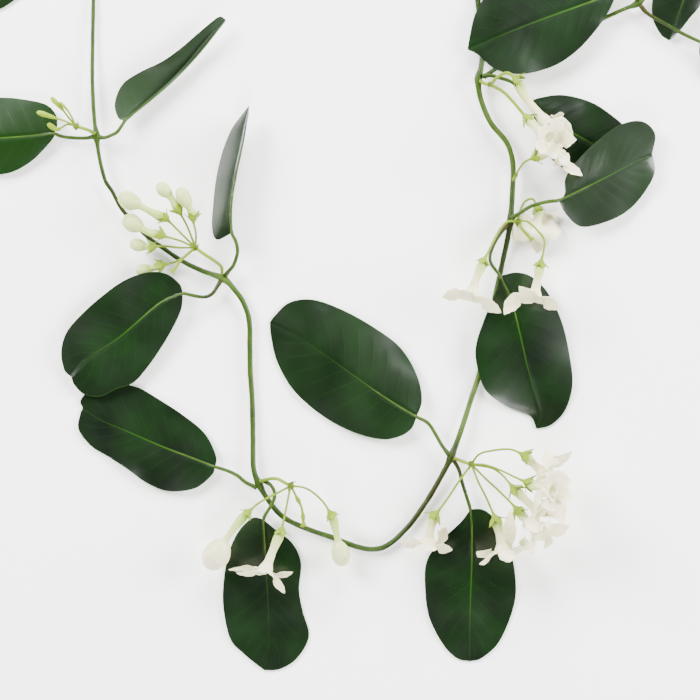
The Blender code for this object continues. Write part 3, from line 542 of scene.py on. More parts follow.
# The petiole runs on into the midrib; a margin runs from the midrib's first point to its last
leaves = {
    "leaf_01": dict(
        petiole=[(95, -50, 3), (86, -50, 4), (74, -56, 5)],
        midrib=[(62, -62, 5), (30, -46, 5), (-5, -27, 4), (-40, -9, 3), (-75, 8, 1.2)],
        margins=([(60, -45), (45, -20), (20, -5), (0, 8), (-28, 16), (-55, 18)],
                 [(50, -68), (25, -69), (-8, -62), (-40, -45), (-68, -15)]),
        lift=(-3, -3)),
    "leaf_02": dict(
        petiole=[(95, 136, 7), (88, 138, 7), (75, 138, 6.5), (62, 136.5, 6.5)],
        midrib=[(54, 133, 6.5), (28, 136, 6.5), (0, 138, 6), (-50, 141, 4), (-100, 140, 1.2)],
        margins=([(57, 128), (56, 115), (45, 104), (20, 98.5), (0, 97), (-30, 99), (-60, 106),
                  (-85, 120)],
                 [(54, 137), (45, 148), (30, 162), (10, 172.5), (-15, 175), (-40, 174), (-65, 168),
                  (-88, 156)]),
        lift=(-3, -3)),
    "leaf_03": dict(
        petiole=[(98, 137, 8), (105, 138, 9), (112, 135.5, 10), (118, 132, 10)],
        midrib=[(126, 120, 9), (143, 105, 6), (167, 84, 4), (186, 64, 4), (206, 40, 6),
                (226, 20, 9)],
        margins=([(119, 119), (115, 104), (123, 84.5), (141, 72), (162, 62), (178, 51), (194, 37.5),
                  (210, 24), (220, 17)],
                 [(130, 117), (150, 101), (172, 82), (190, 64), (206, 46), (219, 29)]),
        lift=(5, 4)),
    "leaf_04": dict(
        petiole=[(225, 276, 6), (229, 271, 8), (234, 265, 10), (238, 252, 13), (236, 241, 16)],
        midrib=[(232, 234, 17), (231.5, 215, 17), (233, 196, 17), (238, 170, 17), (245, 138, 15),
                (249.5, 106, 12)],
        margins=([(217, 240), (212, 227), (213, 205), (216, 178), (222, 152), (231, 130),
                  (241, 116)],
                 [(231, 228), (230, 215), (231, 195), (236, 170), (243, 140), (248.5, 118)]),
        lift=(-13, -15)),
    "leaf_05": dict(
        petiole=[(221, 280, 5.5), (217, 287, 6), (212, 294, 6.5), (205, 297, 7.5), (195, 296, 8.5)],
        midrib=[(183, 293, 9), (165, 300, 9), (150, 311, 9), (120, 337, 8.5), (90, 357, 6.5),
                (71, 377, 4)],
        margins=([(180, 284), (167, 274), (152, 272), (137, 275), (120, 283), (100, 298), (80, 316),
                  (66, 333), (61, 352), (64, 370)],
                 [(182, 307), (176, 322), (163, 345), (147, 368), (133, 383), (116, 389),
                  (100, 396.5), (84, 394.5), (74, 385)]),
        lift=(-1, -3)),
    "leaf_06": dict(
        petiole=[(257, 488, 5), (245, 482, 5), (238, 476, 5), (228, 471, 5)],
        midrib=[(215, 467, 4.5), (190, 457.5, 3), (160, 446, 1.8), (130, 433, 1.1), (100, 420, 0.8),
                (82, 408, 0.8)],
        margins=([(216, 456), (205, 434), (184, 416), (158, 399), (135, 386.5), (112, 384),
                  (93, 387), (80, 400)],
                 [(212, 475), (195, 488.5), (168, 491.5), (146, 483), (128, 470), (108, 457),
                  (90, 446), (78, 430), (79, 416)]),
        lift=(0.6, 1.5)),
    "leaf_07": dict(
        petiole=[(264, 481, 6.5), (271, 485, 8), (275, 494, 9), (272, 504, 9), (267, 512, 8)],
        midrib=[(263, 519, 6.5), (265, 550, 5), (267, 585, 4), (268.5, 620, 3), (268.5, 650, 1.8),
                (264, 671, 0.8)],
        margins=([(252, 518), (238, 532), (229, 552), (223.5, 580), (223, 608), (230, 640),
                  (244, 655), (256, 665)],
                 [(276, 530), (292, 543), (301, 563), (299, 590), (303, 613), (309, 637),
                  (297, 659), (280, 670)]),
        lift=(-2, -2)),
    "leaf_08": dict(
        petiole=[(449, 455, 6), (446, 451, 7), (441, 444, 8), (436, 435, 8.5), (428, 423, 8.5)],
        midrib=[(416.5, 417, 7.5), (385, 397.5, 6.5), (355, 376.5, 5.5), (325, 355, 4.5),
                (295, 335, 3), (269.5, 322.5, 1.6)],
        margins=([(422, 400), (417, 375), (400, 347), (372, 326), (342, 309.5), (313, 299.5),
                  (290, 302), (275, 315)],
                 [(412, 428), (401, 436), (382, 439.5), (351, 431.5), (321, 415), (293, 390),
                  (277, 362), (271, 338)]),
        lift=(-3, -3)),
    "leaf_09": dict(
        petiole=[(453, 459, 6), (459, 470, 6.5), (462, 482, 7), (466, 495, 7)],
        midrib=[(470.5, 509, 6.5), (472, 530, 5.5), (472, 560, 4.5), (471, 590, 3.6),
                (470, 625, 2.4), (470, 662, 0.8)],
        margins=([(460, 523), (440, 542), (427, 561), (425, 585), (429, 617), (443, 645),
                  (457, 659)],
                 [(484, 510), (497, 522), (510, 548), (516, 580), (514, 608), (500, 642),
                  (482, 659)]),
        lift=(-2, -2)),
    "leaf_10": dict(
        petiole=[(508, 224, 6.5), (500, 234, 8), (492, 248, 9.5), (490, 262, 10.5)],
        midrib=[(500, 276, 10.5), (511, 300, 10.5), (520, 335, 9.5), (527, 365, 7.5),
                (535, 393, 4.5), (541, 415, 2), (537, 429, 0.8)],
        margins=([(496, 290), (483, 322), (475.5, 348), (478, 371), (487, 392), (508, 407),
                  (530, 416)],
                 [(516, 272.5), (532, 277), (548, 293), (562, 322), (570, 355), (573, 385),
                  (566, 410), (552, 425)]),
        lift=(-2.2, -4)),
    "leaf_11": dict(
        petiole=[(512, 218, 8.5), (520, 213, 12), (530, 207, 13.5), (543, 203, 13.5)],
        midrib=[(558, 201, 12.5), (575, 193, 12), (605, 178, 11), (635, 162, 8.5),
                (652, 154.5, 6.5)],
        margins=([(564, 194), (565, 178), (577, 161), (595, 143), (620, 125), (642, 121.5),
                  (655, 134)],
                 [(566, 215), (582, 227), (610, 220.5), (630, 209), (645, 192), (655, 172)]),
        lift=(-1.5, -6)),
    "leaf_12": dict(
        petiole=[(482, 76.5, 8), (490, 75.5, 7.5), (500, 78, 6), (512, 82, 5), (522, 91, 4.5)],
        midrib=[(531, 101, 4.2), (545, 113, 4), (571, 131, 3.5), (596, 145, 2.6), (620, 158, 1.6),
                (640, 167, 0.8)],
        margins=([(540, 97.5), (563, 94.5), (590, 101), (610, 113), (626, 127), (638, 148)],
                 [(534, 117), (541, 143), (554, 161), (575, 173), (600, 178), (625, 176)]),
        lift=(-1, -1)),
    "leaf_13": dict(
        petiole=[(637, 0, 7), (633, -6, 8), (627, -9, 8)],
        midrib=[(618, -9, 8), (596, 0, 8), (560, 13, 7.5), (530, 24, 7), (500, 36, 7),
                (467.5, 49.5, 6)],
        margins=([(605, -28), (580, -42), (550, -45), (520, -38), (495, -18), (476, 12), (470, 35)],
                 [(606, 16), (585, 43), (565, 60), (545, 69.5), (520, 74.5), (496, 70), (478, 55)]),
        lift=(-2.5, 1)),
    "leaf_14": dict(
        petiole=[(683, -69, 5.5), (690, -64, 6.5), (694, -55, 7)],
        midrib=[(693, -45, 7), (690, -25, 7), (684, -2, 6.5), (677, 18, 5), (669.5, 40, 3)],
        margins=([(676, -40), (661, -24), (653, -2), (653, 18), (661, 34)],
                 [(704, -34), (707, -14), (701, 4), (690, 18), (678, 33)]),
        lift=(-1, 1.5)),
    "leaf_15": dict(
        petiole=[(640, 5, 6), (648, 14, 6.5), (665, 24, 7), (683, 34, 7)],
        midrib=[(700, 42, 7), (722, 53, 6.5), (750, 68, 5), (778, 84, 3), (800, 96, 1)],
        margins=([(706, 32), (725, 22), (755, 30), (782, 50), (800, 78)],
                 [(700, 56), (712, 78), (735, 98), (765, 110), (790, 109)]),
        lift=(-3, -3)),
}

bladeLook = {
    "columns": 36, "rows": 64,
    "thickness": 0.55,              # mm
    "petiole": 0.95, "foot": 1.25,  # mm, radius along the petiole and where it leaves the stem
    "groove": (0.45, 0.9),          # mm, depth and width of the midrib's channel
    "slim": 0.45,                   # least half width where the blade begins, in petiole radii
    "wave": 0.5, "waves": 2.6,      # mm, rise and fall of the margin, and how often along it
    "roll": 0.5, "rolls": 45,       # mm, slow unevenness of the blade, and how often in a metre
    "quilt": 0.03,                  # mm, swelling between the side veins
    "faint": ("leaf_07", "leaf_08"),                         # midribs that fade out to the tip
    "brown": ("leaf_05", "leaf_09", "leaf_10", "leaf_15"),   # petioles with olive brown bark
    "keel": (6, 205, 9),            # fine points of the midrib that the petiole runs on under
    "keelDepth": (0.35, 0.0015),    # mm below the blade at the first, and how much less at each
    "sides": 12, "stalkRows": 52,   # of the petiole
    "ripple": 0.06,
    "brownTone": 0.9, "greenTone": 0.25,
    "fine": 241,                    # points along a midrib and a margin
}


def leafShape(name, leaf):
    look = bladeLook
    number = list(leaves).index(name)
    fine = look["fine"]
    middle = routePath(leaf["midrib"], fine)
    base, tip = leaf["midrib"][0], leaf["midrib"][-1]
    edges = [routePath([(*p[:2], 0) for p in [base] + margin + [tip]], fine)
             for margin in leaf["margins"]]
    heading = headings(middle)
    half = fine // 2
    lifts = list(leaf["lift"])
    if (edges[1][half] - edges[0][half]).cross(heading[half]).z < 0:
        edges.reverse()             # so that the blade's upper side faces up
        lifts.reverse()
    # share of painted grey sheen on this leaf
    bloom = leafLook["bloom"].get(name, 0.0)
    young = leafLook["young"].get(name, 0.0)

    def bend(u, v):
        t = v * 0.6 + (0.5 - 0.5 * math.cos(math.pi * v)) * 0.4   # rows close up at both ends
        k = min(int(t * (fine - 1)), fine - 2)
        share = t * (fine - 1) - k
        centre = middle[k].lerp(middle[k + 1], share)
        w = abs(2 * u - 1)
        hand = 0 if u < 0.5 else 1
        edge = edges[hand][k].lerp(edges[hand][k + 1], share)
        reach = Vector((edge.x - centre.x, edge.y - centre.y, 0))
        slim = look["slim"] * look["petiole"] * mm * (1 - t)
        if reach.length < slim:
            reach = levelSide(heading[k]) * (slim if hand else -slim)
        arch = math.sin(math.pi * min(1.0, max(0.0, t * 1.01))) ** 0.7
        lift = lifts[hand] * mm * arch
        size = math.hypot(reach.length, lift)
        rib = w * size
        fading = 1 + 4 * t if name in look["faint"] else 1
        point = centre + reach * w
        depth, width = look["groove"]
        point.z += lift * w ** 1.5
        point.z -= depth * mm * math.exp(-(rib / (width * mm)) ** 2) * (1 - t * 0.6)
        vein = t - leafLook["slant"] * w ** leafLook["curve"]
        quilt = math.cos(2 * math.pi * leafLook["veins"] * vein)
        point.z += look["quilt"] * mm * quilt * math.sin(math.pi * min(1, w * 1.1)) * arch
        wave = math.sin(2 * math.pi * (t * look["waves"] + number * 0.37 + hand * 0.4))
        point.z += look["wave"] * mm * wave * arch * w ** 3
        roll = noise.noise(point * look["rolls"] + Vector((number, 0, 0)))
        point.z += look["roll"] * mm * roll * arch * w
        return ease(point, look["thickness"]), {
            "along": t, "across": 2 * u - 1, "rib": rib / mm * fading,
            "rim": (1 - w) * size / mm, "bloom": bloom, "tone": young}

    return bend, middle


def buildLeaf(name, leaf):
    look = bladeLook
    bend, middle = leafShape(name, leaf)
    shell = startShell()
    addSheet(shell, look["columns"], look["rows"], bend)
    bmesh.ops.remove_doubles(shell, verts=shell.verts[:], dist=1e-6)
    addBack(shell, shell.faces[:], look["thickness"] * mm, 1)
    # the petiole, which runs on under the blade and thins out there
    stalk = routePath(leaf["petiole"] + leaf["midrib"][:1], 30)
    deep, rise = look["keelDepth"]
    joined = stalk[:-1] + [p - Vector((0, 0, (look["thickness"] + deep - rise * i) * mm))
                           for i, p in enumerate(middle[slice(*look["keel"])])]
    share = distances(stalk)[-1] / distances(joined)[-1]
    thick = look["petiole"]
    widths = [(0, look["foot"]), (share * 0.2, thick), (share * 0.9, thick * 0.95),
              (share * 1.15, thick * 0.75), (1, 0.2)]
    tone = look["brownTone" if name in look["brown"] else "greenTone"]
    tones = [(0, tone), (share, 0.2), (1, 0.1)]
    rows = look["stalkRows"]
    addTube(shell, resample(joined, rows), profileRadii(widths, rows), look["sides"],
            lambda v: {"tone": profile(tones, v), "along": v}, 2, look["ripple"])
    settle(shell)
    finishPiece(shell, "grown_" + name, name, [leafTop, leafUnder, stemBark])


# Flower heads: stalk, hub, stalklets and calyces

# A stalklet starts at the peduncle's last point; one with no name has lost its flower
heads = {
    "umbel_a": dict(
        peduncle=[(95, 134, 8.5), (90, 131, 10), (84, 129, 11), (77, 127, 12)],
        buds=[
            ([(70, 119, 13), (64, 111, 14), (52, 98, 14.5)], 1.25),
            ([(66, 122, 14), (53, 118, 15), (38, 113, 15)], 1.4),
            ([(68, 125, 11), (58, 130, 11), (48, 124, 11)], 1.4),
            ([(70, 113, 15), (61, 103, 16)], 0.8)]),
    "umbel_b": dict(
        peduncle=[(222, 274, 8), (222, 268, 9.5), (219, 264, 11), (212, 259, 13), (204, 254, 14),
                  (196, 248, 15)],
        pedicels={
            "b1": [(183, 235, 17), (170, 222, 18), (165, 218, 18.5)],
            "b2": [(180, 241, 16), (168, 237.5, 16), (161, 235, 16)],
            "b3": [(180, 248, 12.5), (165, 246.5, 11.5), (151, 247, 11.5)],
            "b4": [(189, 229, 18), (183, 217, 19), (179, 210, 19)],
            "b5": [(197, 235, 19), (195, 225, 20.5), (194, 217, 21)],
            "b6": [(185, 257, 11.5), (175, 262, 8.5), (160, 265.5, 6)],
            "": [(182, 260, 13), (177, 267, 12.5), (172, 273, 12.5)]}),
    "umbel_c": dict(
        peduncle=[(260, 481, 7.5), (270, 478.5, 10.5), (278, 478.5, 13), (285, 482, 15),
                  (291, 485, 16)],
        pedicels={
            "c1": [(280, 491, 18), (268, 497, 19), (258, 503, 19), (247, 513, 18.5)],
            "c2": [(288, 500, 18), (285, 515, 18), (281.5, 532, 17.5)],
            "c3": [(305, 487, 18), (315, 493, 18), (324, 502, 17), (332, 515, 15)],
            "": [(296, 495, 15), (302, 508, 13.5), (304, 526, 12)]}),
    "umbel_d": dict(
        peduncle=[(454, 458, 7.5), (462, 461, 9.5), (471, 464, 12)],
        pedicels={
            "d1": [(459, 480, 14), (449, 495, 15), (441, 506, 15), (434, 515, 14.5)],
            "d2": [(478, 482, 15.5), (486, 498, 17.5), (495, 519, 18)],
            "d3": [(485, 478, 16), (498, 490, 18), (511, 503, 19), (517, 510, 19)],
            "d4": [(490, 467, 19), (500, 473, 24), (507, 481, 27), (513, 488, 28)],
            "d5": [(484, 464, 20), (499, 469, 28), (514, 476, 34), (526, 481, 37)],
            "d6": [(478, 454, 17), (490, 450, 21), (509, 448.5, 24), (524, 455, 24)]}),
    "umbel_e": dict(
        peduncle=[(512, 220.5, 7), (515, 221.5, 8), (518, 222, 8.5)],
        pedicels={
            "e1": [(507, 222, 13), (499, 230, 15), (492, 243, 18), (487, 253, 20),
                  (482, 263, 20.5)],
            "e2": [(526, 222, 15), (536, 231, 19), (543, 243, 21), (539, 266, 21)],
            "e3": [(520, 211, 7.2), (525, 201.5, 7.4), (533, 199.5, 8), (538, 210.5, 7.8)],
            "": [(522, 230, 11), (532, 241, 11.5)]}),
    "umbel_f": dict(
        peduncle=[(480, 81, 9), (484, 84, 10.5), (490, 85.5, 11)],
        pedicels={
            "f1": [(497, 78, 12), (507, 74, 13), (517, 81, 14)],
            "f2": [(502, 92, 12), (511, 101, 13), (527, 120, 14)]}),
    "stalk_g": dict(
        peduncle=[(513, 180, 8), (514.5, 178, 9.5), (516, 175, 10.5)],
        pedicels={
            "f3": [(519, 169, 11.5), (525, 162, 12), (536, 157.5, 12.5)]}),
}

headLook = {
    "peduncle": 0.85, "pedicel": 0.55,          # mm, radii
    "hub": 1.6, "hubRipple": 0.5,
    "cup": 2.4, "cupLength": 3.0,               # mm, the calyx's cup
    "sepal": 4.3, "sepalWidth": 3.3,            # mm, its five pointed lobes
    "sepalShape": ((0, 1.0), (0.4, 0.94), (0.75, 0.58), (1, 0.05)),
    "sepalSpread": (0.45, 0.2),                 # 0 along the tube, 1 square to it, and its play
    "sepalFoot": (0.85, 1.2),                   # cup radii from the axis, mm below the rim
    "sepalBack": 0.35,                          # mm, thickness
    "bract": 1.8, "bractWidth": 1.3,            # mm, small scales round the hub
    "bare": ((0, 0.75), (0.15, 0.7), (0.75, 0.7), (1, 1.0)),   # a stalklet without its flower
    "bareCup": 1.0, "bareSepal": 1.6, "bareWidth": 1.2,
    "withered": ((0, 0.7), (0.22, 0.55), (0.38, 1.15), (0.48, 0.6), (0.66, 0.65), (0.78, 1.1),
                 (0.88, 0.7), (1, 1.5)),
    "tinyStalk": 0.5,
    "sides": 12, "stalkRows": 20, "rows": 26, "budRows": 24,
    "sepalColumns": 6, "sepalRows": 8,
    "own": {"umbel_c": {"sepal": 3.0, "bract": 3.4},
            "umbel_d": {"sepal": 5.0, "sepalWidth": 3.8},
            "umbel_e": {"sepal": 3.1, "sepalWidth": 3.6},
            "umbel_f": {"pedicel": 0.8, "hub": 1.2, "bract": 1.0},
            "stalk_g": {"hub": 0.8, "bract": 0.6}},
}


def addSepals(shell, mouth, axis, radius, size, broad, tone, turn):   # sizes in mm
    side = levelSide(axis)
    middle, play = headLook["sepalSpread"]
    outward, below = headLook["sepalFoot"]
    for k in range(5):
        ray = spoke((side, axis.cross(side)), 2 * math.pi * (k + turn) / 5)
        across = axis.cross(ray)
        spread = middle + play * math.sin(k * 2.4 + turn * 9)
        foot = mouth + (ray * radius * outward - axis * below) * mm

        def bend(u, v):
            out = ray * (v * spread + 0.25 * v * v) + axis * (v * (1 - spread * 0.7))
            c = 2 * u - 1
            width = profile(headLook["sepalShape"], v) * broad / 2
            point = out * size + across * c * width - ray * c * c * 0.3 * (1 - v)
            return foot + point * mm, {"tone": tone, "along": v}

        corners = addSheet(shell, headLook["sepalColumns"], headLook["sepalRows"], bend)
        addBack(shell, list({face for corner in corners for face in corner.link_faces}),
                headLook["sepalBack"] * mm)


def buildHead(name, spec):
    look = {**headLook, **headLook["own"].get(name, {})}
    sides = look["sides"]
    shell = startShell()
    stalk = routePath(spec["peduncle"], look["stalkRows"])
    addTube(shell, stalk, [look["peduncle"] * mm] * len(stalk), sides,
            lambda v: {"tone": 0.6 - 0.4 * v})
    hub = stalk[-1]
    ahead = headings(stalk)[-1]
    radius = look["hub"] * mm
    ball = [hub + ahead * (i / 4 - 1) * radius for i in range(9)]
    swell = [radius * math.sqrt(max(0.02, 1 - (i / 4 - 1) ** 2)) for i in range(9)]
    addTube(shell, ball, swell, sides, lambda v: {"tone": 0.75}, 0, look["hubRipple"])
    addSepals(shell, hub, ahead, look["hub"], look["bract"], look["bractWidth"], 0.7, 0.15)
    for index, (key, points) in enumerate(spec.get("pedicels", {}).items()):
        path = routePath(spec["peduncle"][-1:] + points, look["rows"])
        cup, size, broad = ((look["cup"], look["sepal"], look["sepalWidth"]) if key else
                            (look["bareCup"], look["bareSepal"], look["bareWidth"]))
        foot = 1 - look["cupLength"] * mm / distances(path)[-1]
        widths = [(0, 0.7), (0.1, look["pedicel"]), (foot * 0.93, look["pedicel"]),
                  (foot, 0.85), (foot + (1 - foot) * 0.5, cup * 0.85), (1, cup)]
        if not key:
            widths = look["withered" if name == "umbel_c" else "bare"]
        addTube(shell, path, profileRadii(widths, len(path)), sides,
                lambda v: {"tone": profile([(0, 0.7), (0.08, 0.45), (0.9, 0.35), (1, 0.3)], v)})
        addSepals(shell, path[-1], headings(path)[-1], cup, size, broad, 0.25, index * 0.37)
    for points, radius in spec.get("buds", []):
        widths = [(0, look["tinyStalk"]), (0.5, look["tinyStalk"]), (0.62, radius * 0.75),
                  (0.85, radius), (0.96, radius * 0.8), (1, 0.2)]
        path = routePath(spec["peduncle"][-1:] + points, look["budRows"])
        addTube(shell, path, profileRadii(widths, len(path)), sides,
                lambda v: {"tone": 0.45 - 0.35 * v})
    finishPiece(shell, "grown_" + name, name, [stalkSkin])


# Open flowers

# A tube runs from the calyx to the mouth; each lobe has its tip
flowers = {
    "flower_c2": dict(
        tube=[(280, 534, 17.5), (274, 548, 17), (266, 569, 16)],
        tips=[(229, 568, 18), (237, 571, 22), (293, 571, 13), (285, 592, 18), (250, 573, 6)]),
    "flower_d1": dict(
        tube=[(433, 517, 14.4), (430, 530, 14), (428, 542, 13)],
        tips=[(399, 541, 13), (424, 550, 24), (452, 549, 14), (446, 527, 6), (411, 541, 4)]),
    "flower_d2": dict(
        tube=[(496, 522, 18), (499, 536, 17.5), (501, 549, 17)],
        tips=[(476, 550, 19), (478, 562, 25), (508, 560, 26), (524, 548, 14), (511, 508, 8)]),
    "flower_d3": dict(
        tube=[(519, 512, 19), (528, 523, 18.5), (537, 536, 18)],
        tips=[(568, 524, 19), (551, 542, 25), (528, 552, 24), (518, 541, 14), (549, 519, 11)]),
    "flower_d4": dict(
        tube=[(515, 490, 28), (525, 500, 29), (536, 509, 29.5)],
        tips=[(561, 521, 31), (560, 502, 34), (536, 530, 34), (520, 524, 26), (552, 496, 25)]),
    "flower_d5": dict(
        tube=[(528, 482.5, 37.8), (538, 485, 41), (548, 488, 44)],
        tips=[(566, 477, 51), (563, 498, 46), (546, 509, 43), (535, 493, 40), (549, 469, 42)]),
    "flower_d6": dict(
        tube=[(526, 457, 24), (533, 464, 24), (541, 471, 23.5)],
        tips=[(543, 448, 26), (569, 450, 25), (558, 474, 33), (529, 483, 20), (553, 478, 14)]),
    "flower_e1": dict(
        tube=[(481.5, 265, 20.4), (475, 280, 20.2), (470.5, 295, 20)],
        tips=[(441.5, 297, 21), (452, 290, 30), (500, 313, 22), (484, 303, 11), (461, 299, 10)]),
    "flower_e2": dict(
        tube=[(538.5, 268, 21), (536, 281, 20.8), (533, 296, 20.5)],
        tips=[(517, 287, 29), (503, 315, 22), (557, 310, 22), (545, 304, 11), (521, 303, 11)]),
    "flower_e3": dict(
        tube=[(538, 213, 8.4), (537, 219, 7.4), (536, 225, 6.4)],
        tips=[(558, 214, 4), (562, 231, 3), (537, 253, 3), (513, 240, 3), (513, 224, 3)]),
    "flower_f1": dict(
        tube=[(519.5, 85, 13.6), (524, 97, 12.5), (546, 124, 11)],
        tips=[(559, 113, 14), (572, 137, 13), (561, 146, 11), (540, 144, 12), (556, 128, 5)]),
    "flower_f2": dict(
        tube=[(529, 122, 14.5), (536, 130, 19), (547, 139, 24)],
        tips=[(560, 119, 27), (573, 141, 27), (560, 158, 28), (538, 156, 28), (536, 131, 31)]),
    "flower_f3": dict(
        tube=[(538, 156.5, 12.6), (548, 154, 13.5), (560, 152, 14.5)],
        tips=[(575, 141, 17), (581, 177, 18), (568, 167, 17), (553, 166, 11), (566, 134, 14)]),
}

flowerLook = {
    "tube": ((0, 1.9), (0.15, 2.5), (0.5, 1.95), (0.75, 2.2), (1, 3.7)),   # mm, radius along it
    "hidden": 1.6,                  # mm of the tube's foot inside the calyx
    "column": (0.3, 0.74, 0.85),    # the stamens' column: its foot, tip and share of the width
    "thickness": 0.5,
    "crease": 0.03,                 # five folds down the tube, in shares of its radius
    "lobe": ((0, 2.2), (0.2, 4.0), (0.45, 4.9), (0.7, 4.2), (0.9, 2.0), (1, 0.15)),   # half width
    "wide": 1.0,
    "bow": (0.42, 0.16),            # where a lobe bends over: out and forward, in lobe lengths
    "facing": 0.8, "turning": 2.5,  # how far and how fast a lobe turns its face up
    "joint": 0.22,                  # share of a lobe in which it grows out of the tube's rim
    "cup": 0.22,                    # how far its sides rise, in half widths
    "uneven": 0.25,                 # mm
    "across": 12, "out": 20, "rows": 26, "columnSides": 12,
    # flowers seen edge on, from behind, or in the dense head at the lower right
    "own": {"flower_c2": {"wide": 0.85, "facing": 0.55},
            "flower_d1": {"wide": 1.1, "facing": 0.75},
            "flower_d2": {"wide": 1.1, "facing": 0.6},
            "flower_d3": {"wide": 1.35}, "flower_d4": {"wide": 1.45},
            "flower_d5": {"wide": 1.35}, "flower_d6": {"wide": 1.3},
            "flower_e3": {"wide": 1.15, "facing": -3.0},
            "flower_f1": {"wide": 0.85}, "flower_f2": {"wide": 0.85},
            "flower_f3": {"wide": 0.85}},
}


def sortTips(tips, mouth, frame):
    # lobes in order round the tube, and the turn of the even star that fits them
    around = sorted((math.atan2((tip - mouth).dot(frame[1]), (tip - mouth).dot(frame[0])), i)
                    for i, tip in enumerate(tips))
    turn = sum(angle - k * 2 * math.pi / 5 for k, (angle, i) in enumerate(around)) / 5
    return [tips[i] for angle, i in around], turn


def tubePath(tube, hidden, count):  # a tube's line, with its foot inside the calyx
    points = [place(p) for p in tube]
    points[0] -= (points[1] - points[0]).normalized() * hidden * mm
    return smoothPath(points, count)


def buildFlower(name, spec):
    look = {**flowerLook, **flowerLook["own"].get(name, {})}
    rows = look["rows"]
    thickness = look["thickness"]
    path = tubePath(spec["tube"], look["hidden"], rows + 1)
    frames = crossFrames(path)
    axis, mouth = headings(path)[-1], path[-1]
    tips, turn = sortTips([place(t) for t in spec["tips"]], mouth, frames[-1])
    fifth = 2 * math.pi / 5
    radii = profileRadii(look["tube"], rows + 1)
    shell = startShell()

    def ring(i, angle):             # a point of the tube's outline
        crease = 1 + look["crease"] * math.cos(5 * (angle - turn))
        return path[i] + spoke(frames[i], angle) * radii[i] * crease

    def tubeBend(u, v):
        point = ring(round(v * rows), turn - fifth / 2 + 2 * math.pi * u)
        return ease(point, thickness), {"along": v * 0.6}

    addSheet(shell, 5 * look["across"], rows, tubeBend)
    for k, tip in enumerate(tips):
        middleAngle = turn + fifth * k
        root = mouth + spoke(frames[-1], middleAngle) * radii[-1] * 1.03
        reach = (tip - root).length
        out, forward = look["bow"]
        bow = root + (spoke(frames[-1], middleAngle) * out + axis * forward) * reach
        facing = axis + Vector((0, 0, look["facing"]))

        def lobeBend(u, v):
            centre = root * (1 - v) ** 2 + bow * 2 * v * (1 - v) + tip * v * v
            along = ((bow - root) * (1 - v) + (tip - bow) * v).normalized()
            turned = min(1, v * look["turning"])
            flat = facing * turned + axis * (1 - turned)
            flat = (flat - along * flat.dot(along)).normalized()
            c = 2 * u - 1
            half = profile(look["lobe"], v) * mm * look["wide"]
            point = centre + flat.cross(along) * c * half
            point += flat * look["cup"] * half * (c * c - 0.4) * v
            point += flat * look["uneven"] * mm * noise.noise(point * 300)
            arc = ring(-1, middleAngle + fifth * (u - 0.5))
            point = arc.lerp(point, smooth(min(1.0, v / look["joint"])))
            return ease(point, thickness), {"along": 0.6 + 0.4 * v}

        addSheet(shell, look["across"], look["out"], lobeBend)
    bmesh.ops.remove_doubles(shell, verts=shell.verts[:], dist=2e-6)
    addBack(shell, shell.faces[:], thickness * mm)
    foot, top, share = look["column"]
    first, last = round(rows * foot), round(rows * top)
    inner = [(radius - thickness * mm) * share for radius in radii[first:last + 1]]
    inner[-1] *= 0.5                # a blunt tip
    addTube(shell, path[first:last + 1], inner, look["columnSides"],
            lambda v: {"along": 0.3 + 0.1 * v})
    settle(shell)
    finishPiece(shell, "grown_" + name, name, [petal])


# Buds

# A bud's head has its widest radius, and the length from there to its top, in millimetres
buds = {
    "bud_b1": dict(tube=[(163, 217.5, 18.5), (155, 214, 19), (142, 207, 19), (129, 201, 19)],
                   head=4.5, length=5),
    "bud_b2": dict(tube=[(159, 234.8, 16), (150, 233, 15.5), (141, 228, 15), (132, 223, 14.5)],
                   head=4.4, length=4.8),
    "bud_b3": dict(tube=[(149, 247, 11.5), (144, 246.5, 11), (137, 245, 10.5)],
                   head=3.2, length=3.6),
    "bud_b4": dict(tube=[(178, 208, 19), (175, 203, 19), (170, 196, 19), (164, 190, 19)],
                   head=3.4, length=3.8),
    "bud_b5": dict(tube=[(193.5, 215, 21), (190, 208, 21.5), (184, 197, 21.5)],
                   head=3.6, length=4.6),
    "bud_b6": dict(tube=[(158, 266, 5.8), (152, 268, 5), (142, 270, 4.4)], head=2.9, length=3.4),
    "bud_c1": dict(tube=[(245, 515, 18.4), (238, 523, 18), (231, 532, 17), (216, 555, 13.5)],
                   head=6.8, length=8),
    "bud_c3": dict(tube=[(333, 517, 14.6), (335, 526, 13.5), (337, 535, 12), (341, 555, 9.6)],
                   head=4.7, length=5.8),
}

budLook = {
    "foot": ((0, 1.9), (0.2, 2.3), (0.75, 1.6), (1, 1.7)),   # mm, radius along the tube
    "hidden": 1.6,                  # mm of the tube's foot inside the calyx
    "sides": 30, "rows": 52,
    "pleat": 0.06,                  # five folded lobes, wound round each other
    "twist": 1.3,
    # the head runs back to the tube over this many half lengths, nearly all of it seen
    "pear": {"bud_c1": 1.2, "bud_c3": 1.3}, "pearOthers": 1.45, "seen": 0.9,
    "taper": 0.12,                  # how much slimmer than a ball the head is at its tip
    "green": {"bud_c1": 0.0, "bud_c3": 0.6}, "greenOthers": 1.0,
}


